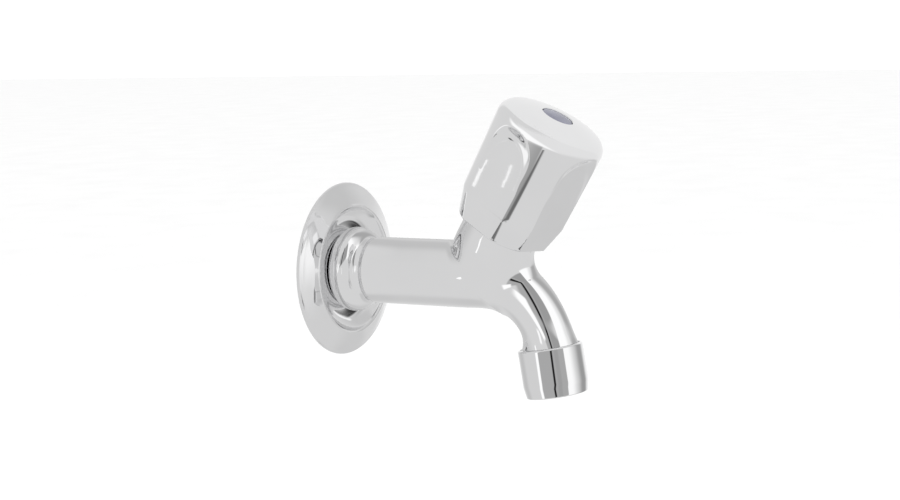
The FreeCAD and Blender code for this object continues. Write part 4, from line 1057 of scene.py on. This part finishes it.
FINISH = {
    "casting": casting_material(),
    "flange": chrome("chrome_flange"),
    "knob": chrome("chrome_knob"),
    "shell": chrome("chrome_shell"),
    "brass_turned": plain("turned_brass", (0.66, 0.49, 0.24), (0.76, 0.60, 0.31), (0.2, 0.36), 1.0, 900.0, 0.2, stretch=(1, 1, 5)),
    "steel": plain("plain_steel", (0.56, 0.56, 0.57), (0.66, 0.66, 0.67), (0.22, 0.36), 1.0, 900.0, 0.15),
    "rubber": plain("black_rubber", (0.035, 0.035, 0.038), (0.06, 0.06, 0.064), (0.6, 0.8), 0.0, 1200.0, 0.5),
    "fibre": plain("red_fibre", (0.36, 0.09, 0.07), (0.50, 0.15, 0.11), (0.7, 0.9), 0.0, 1500.0, 0.6),
    "plastic": plain("white_plastic", (0.78, 0.79, 0.80), (0.84, 0.85, 0.86), (0.35, 0.48), 0.0, 800.0, 0.2),
    "plastic_grey": plain("grey_plastic", (0.56, 0.58, 0.61), (0.66, 0.68, 0.71), (0.35, 0.48), 0.0, 800.0, 0.2),
    "indice": plain("blue_indice", (0.14, 0.142, 0.19), (0.20, 0.203, 0.26), (0.16, 0.24), 0.0, 900.0, 0.1, coat=0.3),
}
for name, node in NODES.items():
    node.data.materials.clear()
    node.data.materials.append(FINISH[SLOT_OF[name]])

SKINS = {
    "tap_body": make_tap_body(FINISH["casting"]),
    "wall_flange": make_flange(FINISH["flange"]),
    "aerator_shell": make_shell(FINISH["shell"]),
    "knob": make_knob(FINISH["knob"]),
}


# ------------------------------------------------------- studio surroundings
# A soft light tent.  Each group of pieces sees its own one, as lamps and cards
# are set for one part of a product at a time.  Brightness is by direction:
# azimuth in degrees from the side where the tent is open (0 = the opening,
# + to its right seen from the tap, 180 = behind), elevation in degrees, and
# the tone (0 to 255) that chrome shows there.
# (azimuth, half width, its softness, elevation, half height, its softness,
#  slant in degrees of azimuth per degree of elevation, tilt the other way
#  round, tone)
def tone(value):
    v = value / 255
    linear = v / 12.92 if v <= 0.04045 else ((v + 0.055) / 1.055) ** 2.4
    return linear / CHROME_BASE


TENT_BODY = [
    # roof and ground behind
    (185, 75, 43, 46.5, 23, 31, 0.45, -0.41, 191),
    (-150, 65, 45, -70, 27, 29, 0.28, -0.30, 195),
    (185, 75, 33, 0, 17, 16, 0.30, -0.37, 194),
    # the opening, left and right half
    (-17, 14, 5, 31, 19.5, 5, 0.50, 0.45, 168),
    (15, 18, 4, 43, 20, 5, 0.35, 0.30, 153),
    # lit strip left of the opening
    (-41.3, 4.0, 3, 10, 8, 4, 0.0, 0.50, 250),
    (-32.8, 4.2, 3, 7.5, 11, 6, 0.62, 0.0, 255),
    # lamp on its right, and the dark gap behind it
    (62, 29, 5, 45, 25, 6, 0.20, 0.0, 253),
    (95, 14, 22, 44, 25, 6, 0.0, 0.10, 225),
    (124, 17, 24, 38, 28, 7, -0.18, -0.40, 166),
    # black edge in the opening
    (-10.7, 3.3, 3.2, 36.5, 21.5, 4, 0.35, 0.40, 25),
]
TENT_SHELL = [
    (-133, 16, 24, 2, 40, 5, 0.0, 0.0, 190),
    (-53, 5, 4, 0, 40, 10, 0.10, 0.0, 255),
    # lamp on its right, and the dark gap behind it
    (66, 25, 5, 0, 40, 20, 0.0, 0.0, 250),
    (93, 20, 33, 0, 40, 5, 0.0, 0.0, 203),
    (113, 18, 26, 0, 40, 20, 0.0, 0.0, 152),
    (165, 29, 27, -10, 40, 20, 0.0, 0.0, 235),
    # the opening and its black edge
    (-3.5, 45.5, 3, 0, 40, 6, 0.0, 0.0, 166),
    (14.4, 7, 6, 0, 40, 7, 0.0, 0.0, 157),
    (-2.6, 3.4, 2.6, 0, 40, 18, 0.10, 0.0, 28),
]
TENT_KNOB = [
    # over the domed top
    (134, 65, 12, 37, 55, 8, 0.0, -0.14, 228),
    (56, 65, 18, 18, 42, 23, -1.0, 0.07, 224),
    # ground under the right-hand facet
    (154, 36, 25, -49, 15, 8, 0.22, 0.0, 200),
    (131, 14, 12, -34, 14, 10, 0.0, 0.0, 198),
    # lit strips over the corner and beside the left-hand arch
    (-29, 25, 20, 15, 31, 20, -0.84, -0.30, 252),
    (-107, 12, 7, -4, 7.5, 5, 0.0, 0.0, 246),
    # dark strip down the corner
    (-20.7, 19.3, 4.6, -26.1, 10.5, 18.0, 0.66, -0.22, 155),
    (-11.7, 7.4, 5.4, -29.8, 1.6, 1.8, 0.34, -0.06, 105),
    (-30, 14, 5, -41.3, 2.4, 1.6, 0.68, -0.55, 110),
    (18.7, 3.2, 3.0, -38.0, 8.0, 2.0, 1.46, 0.0, 118),
    # dark crescent inside the arch
    (-80.7, 1.6, 1.0, -11.0, 5.0, 2.0, 0.0, 0.0, 70),
]
TENT_FLANGE = [
    (64.7, 9.7, 10.9, -0.6, 17.6, 8.2, 0.0, 0.65, 243),
    (67.3, 11.4, 19.4, -17.9, 11.7, 23.8, 0.27, 0.05, 214),
    (91.7, 28.8, 31.1, 45.3, 25.7, 16.2, 0.37, -0.76, 193),
    (163.8, 18.2, 12.0, -8.8, 10.5, 13.8, -0.57, -0.21, 227),
    (128.7, 19.9, 26.6, -51.5, 25.1, 4.1, -0.14, 0.03, 198),
    (98.9, 12.4, 10.0, -6.0, 15.4, 22.0, 0.0, 0.0, 171),
    (103.7, 19.9, 22.1, -84.0, 15.6, 22.2, -0.17, -0.08, 167),
    (117.9, 2.4, 5.7, -5.3, 4.6, 4.2, 0.21, 0.50, 40),
    (119.0, 2.1, 2.9, 3.2, 11.1, 7.9, -0.11, 0.94, 240),
]
BASE_TONE = 210


def brightness(g, direction, tents, base):
    """Builds the nodes that turn a direction into a radiance."""
    turn = g.node("ShaderNodeVectorRotate", rotation_type="Z_AXIS")
    g.link(direction, turn.inputs["Vector"])
    turn.inputs["Angle"].default_value = -math.atan2(TOWARDS_CAMERA.y, TOWARDS_CAMERA.x)
    unit = g.node("ShaderNodeVectorMath", operation="NORMALIZE")
    g.link(turn.outputs[0], unit.inputs[0])
    parts = g.node("ShaderNodeSeparateXYZ")
    g.link(unit.outputs[0], parts.inputs[0])
    azimuth = g.math("MULTIPLY", g.math("ARCTAN2", parts.outputs[1], parts.outputs[0]), 180 / PI)
    elevation = g.math("MULTIPLY", g.math("ARCSINE", parts.outputs[2]), 180 / PI)
    level = tone(base)
    for a, wa, sa, e, we, se, slant, tilt, value in tents:
        across = g.math("SUBTRACT", azimuth, a)
        if slant:
            across = g.math("SUBTRACT", across, g.math("MULTIPLY", elevation, slant))
        across = g.math("WRAP", across, 180.0, -180.0)
        upward = g.math("SUBTRACT", elevation, e)
        if tilt:
            upward = g.math("SUBTRACT", upward, g.math("MULTIPLY", across, tilt))
        across, upward = g.math("ABSOLUTE", across), g.math("ABSOLUTE", upward)
        m1 = g.smooth(across, wa - sa / 2, wa + sa / 2, 1.0, 0.0)
        m2 = g.smooth(upward, we - se / 2, we + se / 2, 1.0, 0.0)
        level = g.mix(g.math("MULTIPLY", m1, m2), level, tone(value))
    return level


def make_tent(name, members, tents, radius, base=BASE_TONE):
    """A thin glowing dome that only these pieces reflect."""
    bpy.ops.mesh.primitive_ico_sphere_add(subdivisions=4, radius=radius, location=(0, -0.045, 0))
    dome = bpy.context.object
    dome.name = name
    m = bpy.data.materials.new(name)
    m.use_nodes = True
    m.cycles.emission_sampling = "NONE"
    g = Graph(m.node_tree)
    level = brightness(g, g.node("ShaderNodeTexCoord").outputs["Object"], tents, base)
    glow = g.node("ShaderNodeEmission")
    g.put(glow.inputs["Strength"], level)
    clear = g.node("ShaderNodeBsdfTransparent")
    both = g.node("ShaderNodeAddShader")
    g.link(glow.outputs[0], both.inputs[0])
    g.link(clear.outputs[0], both.inputs[1])
    out = g.node("ShaderNodeOutputMaterial")
    g.link(both.outputs[0], out.inputs["Surface"])
    dome.data.materials.append(m)
    dome.visible_camera = False
    dome.visible_diffuse = False
    dome.visible_shadow = False
    dome.visible_transmission = False
    group = bpy.data.collections.new(name + "_sees")
    for obj in members:
        group.objects.link(obj)
    dome.light_linking.receiver_collection = group
    return dome


def make_card(name, members, points, facing, half_width, over, under=BASE_TONE):
    """A thin glowing strip near the tap (mm), which only these pieces reflect.
    over and under: the tones chrome shows with the strip and beside it."""
    points, facing = np.array(points, float), np.array(facing, float)
    along = np.gradient(points, axis=0)
    aside = np.cross(facing, along)
    aside /= np.linalg.norm(aside, axis=1)[:, None]
    n = len(points)
    both = np.concatenate([points - aside * half_width, points + aside * half_width]) * MM
    mesh = bpy.data.meshes.new(name)
    mesh.from_pydata(both.tolist(), [], [(i, i + 1, n + i + 1, n + i) for i in range(n - 1)])
    card = bpy.data.objects.new(name, mesh)
    scene.collection.objects.link(card)
    m = bpy.data.materials.new(name)
    m.use_nodes = True
    m.cycles.emission_sampling = "NONE"
    g = Graph(m.node_tree)
    glow = g.node("ShaderNodeEmission")
    where = g.node("ShaderNodeTexCoord").outputs["Object"]
    g.put(glow.inputs["Strength"], g.smooth(noise(g, where, 400.0), 0.2, 0.8, 0.94, 1.06, "LINEAR"))
    level = tone(over) - tone(under)
    glow.inputs["Color"].default_value = (level, level, level, 1)
    clear = g.node("ShaderNodeBsdfTransparent")
    add = g.node("ShaderNodeAddShader")
    g.link(glow.outputs[0], add.inputs[0])
    g.link(clear.outputs[0], add.inputs[1])
    out = g.node("ShaderNodeOutputMaterial")
    g.link(add.outputs[0], out.inputs["Surface"])
    mesh.materials.append(m)
    card.visible_camera = False
    card.visible_diffuse = False
    card.visible_shadow = False
    card.visible_transmission = False
    group = bpy.data.collections.new(name + "_sees")
    for obj in members:
        group.objects.link(obj)
    card.light_linking.receiver_collection = group


others = [NODES[n] for n in NODES if n not in SKINS]
make_tent("tent_body", [SKINS["tap_body"]] + others, TENT_BODY, 3.0)
make_tent("tent_shell", [SKINS["aerator_shell"]], TENT_SHELL, 3.1, 206)
make_tent("tent_knob", [SKINS["knob"]], TENT_KNOB, 3.2)
make_tent("tent_flange", [SKINS["wall_flange"]], TENT_FLANGE, 3.4, 206)
make_card(
    "card_neck", [SKINS["tap_body"]], [(-67.7, -42.0, 9.6), (-67.5, -42.5, 0.9), (-65.4, -40.0, -4.0), (-63.6, -37.8, -8.0)],
    (0.892, -0.43, 0.11), 2.4, 255,
)
make_card("card_left", [SKINS["knob"]], [(-187.0, 109.2, 56.7), (-186.5, 115.4, 44.6)], (0.718, -0.630, -0.296), 0.8, 250)
make_card("card_right", [SKINS["knob"]], [(-191.2, 95.9, 54.4), (-191.2, 99.9, 44.8)], (0.713, -0.647, -0.270), 0.6, 248)


def make_world():
    world = bpy.data.worlds.new("studio")
    scene.world = world
    world.use_nodes = True
    g = Graph(world.node_tree)
    path = g.node("ShaderNodeLightPath")
    level = g.mix(path.outputs["Is Camera Ray"], 1.14, 1.2)
    level = g.mix(path.outputs["Is Glossy Ray"], level, 0.0)
    background = g.node("ShaderNodeBackground")
    g.put(background.inputs["Strength"], level)
    background.inputs["Color"].default_value = (1.0, 1.0, 1.0, 1.0)
    out = g.node("ShaderNodeOutputWorld")
    g.link(background.outputs[0], out.inputs["Surface"])


make_world()

# ------------------------------------------------------------------- floor
bpy.ops.mesh.primitive_plane_add(size=60, location=(0, 0, -1.0))
floor = bpy.context.object
floor.name = "floor"
floor.visible_glossy = False
m, g, shader = material("floor")
place = g.node("ShaderNodeTexCoord").outputs["Object"]
g.put(shader.inputs["Base Color"], g.ramp(noise(g, place, 3.0), [(0.3, (0.93, 0.93, 0.93)), (0.7, (0.96, 0.96, 0.96))]))
g.put(shader.inputs["Roughness"], g.smooth(noise(g, place, 30.0), 0.3, 0.7, 0.8, 0.95, "LINEAR"))
floor.data.materials.append(m)

lamp = bpy.data.lights.new("overhead", "AREA")
lamp.shape = "DISK"
lamp.size = 3.0
lamp.energy = 40.0
lamp_object = bpy.data.objects.new("overhead", lamp)
lamp_object.location = (-0.3, -0.6, 2.6)
lamp_object.visible_glossy = False
scene.collection.objects.link(lamp_object)
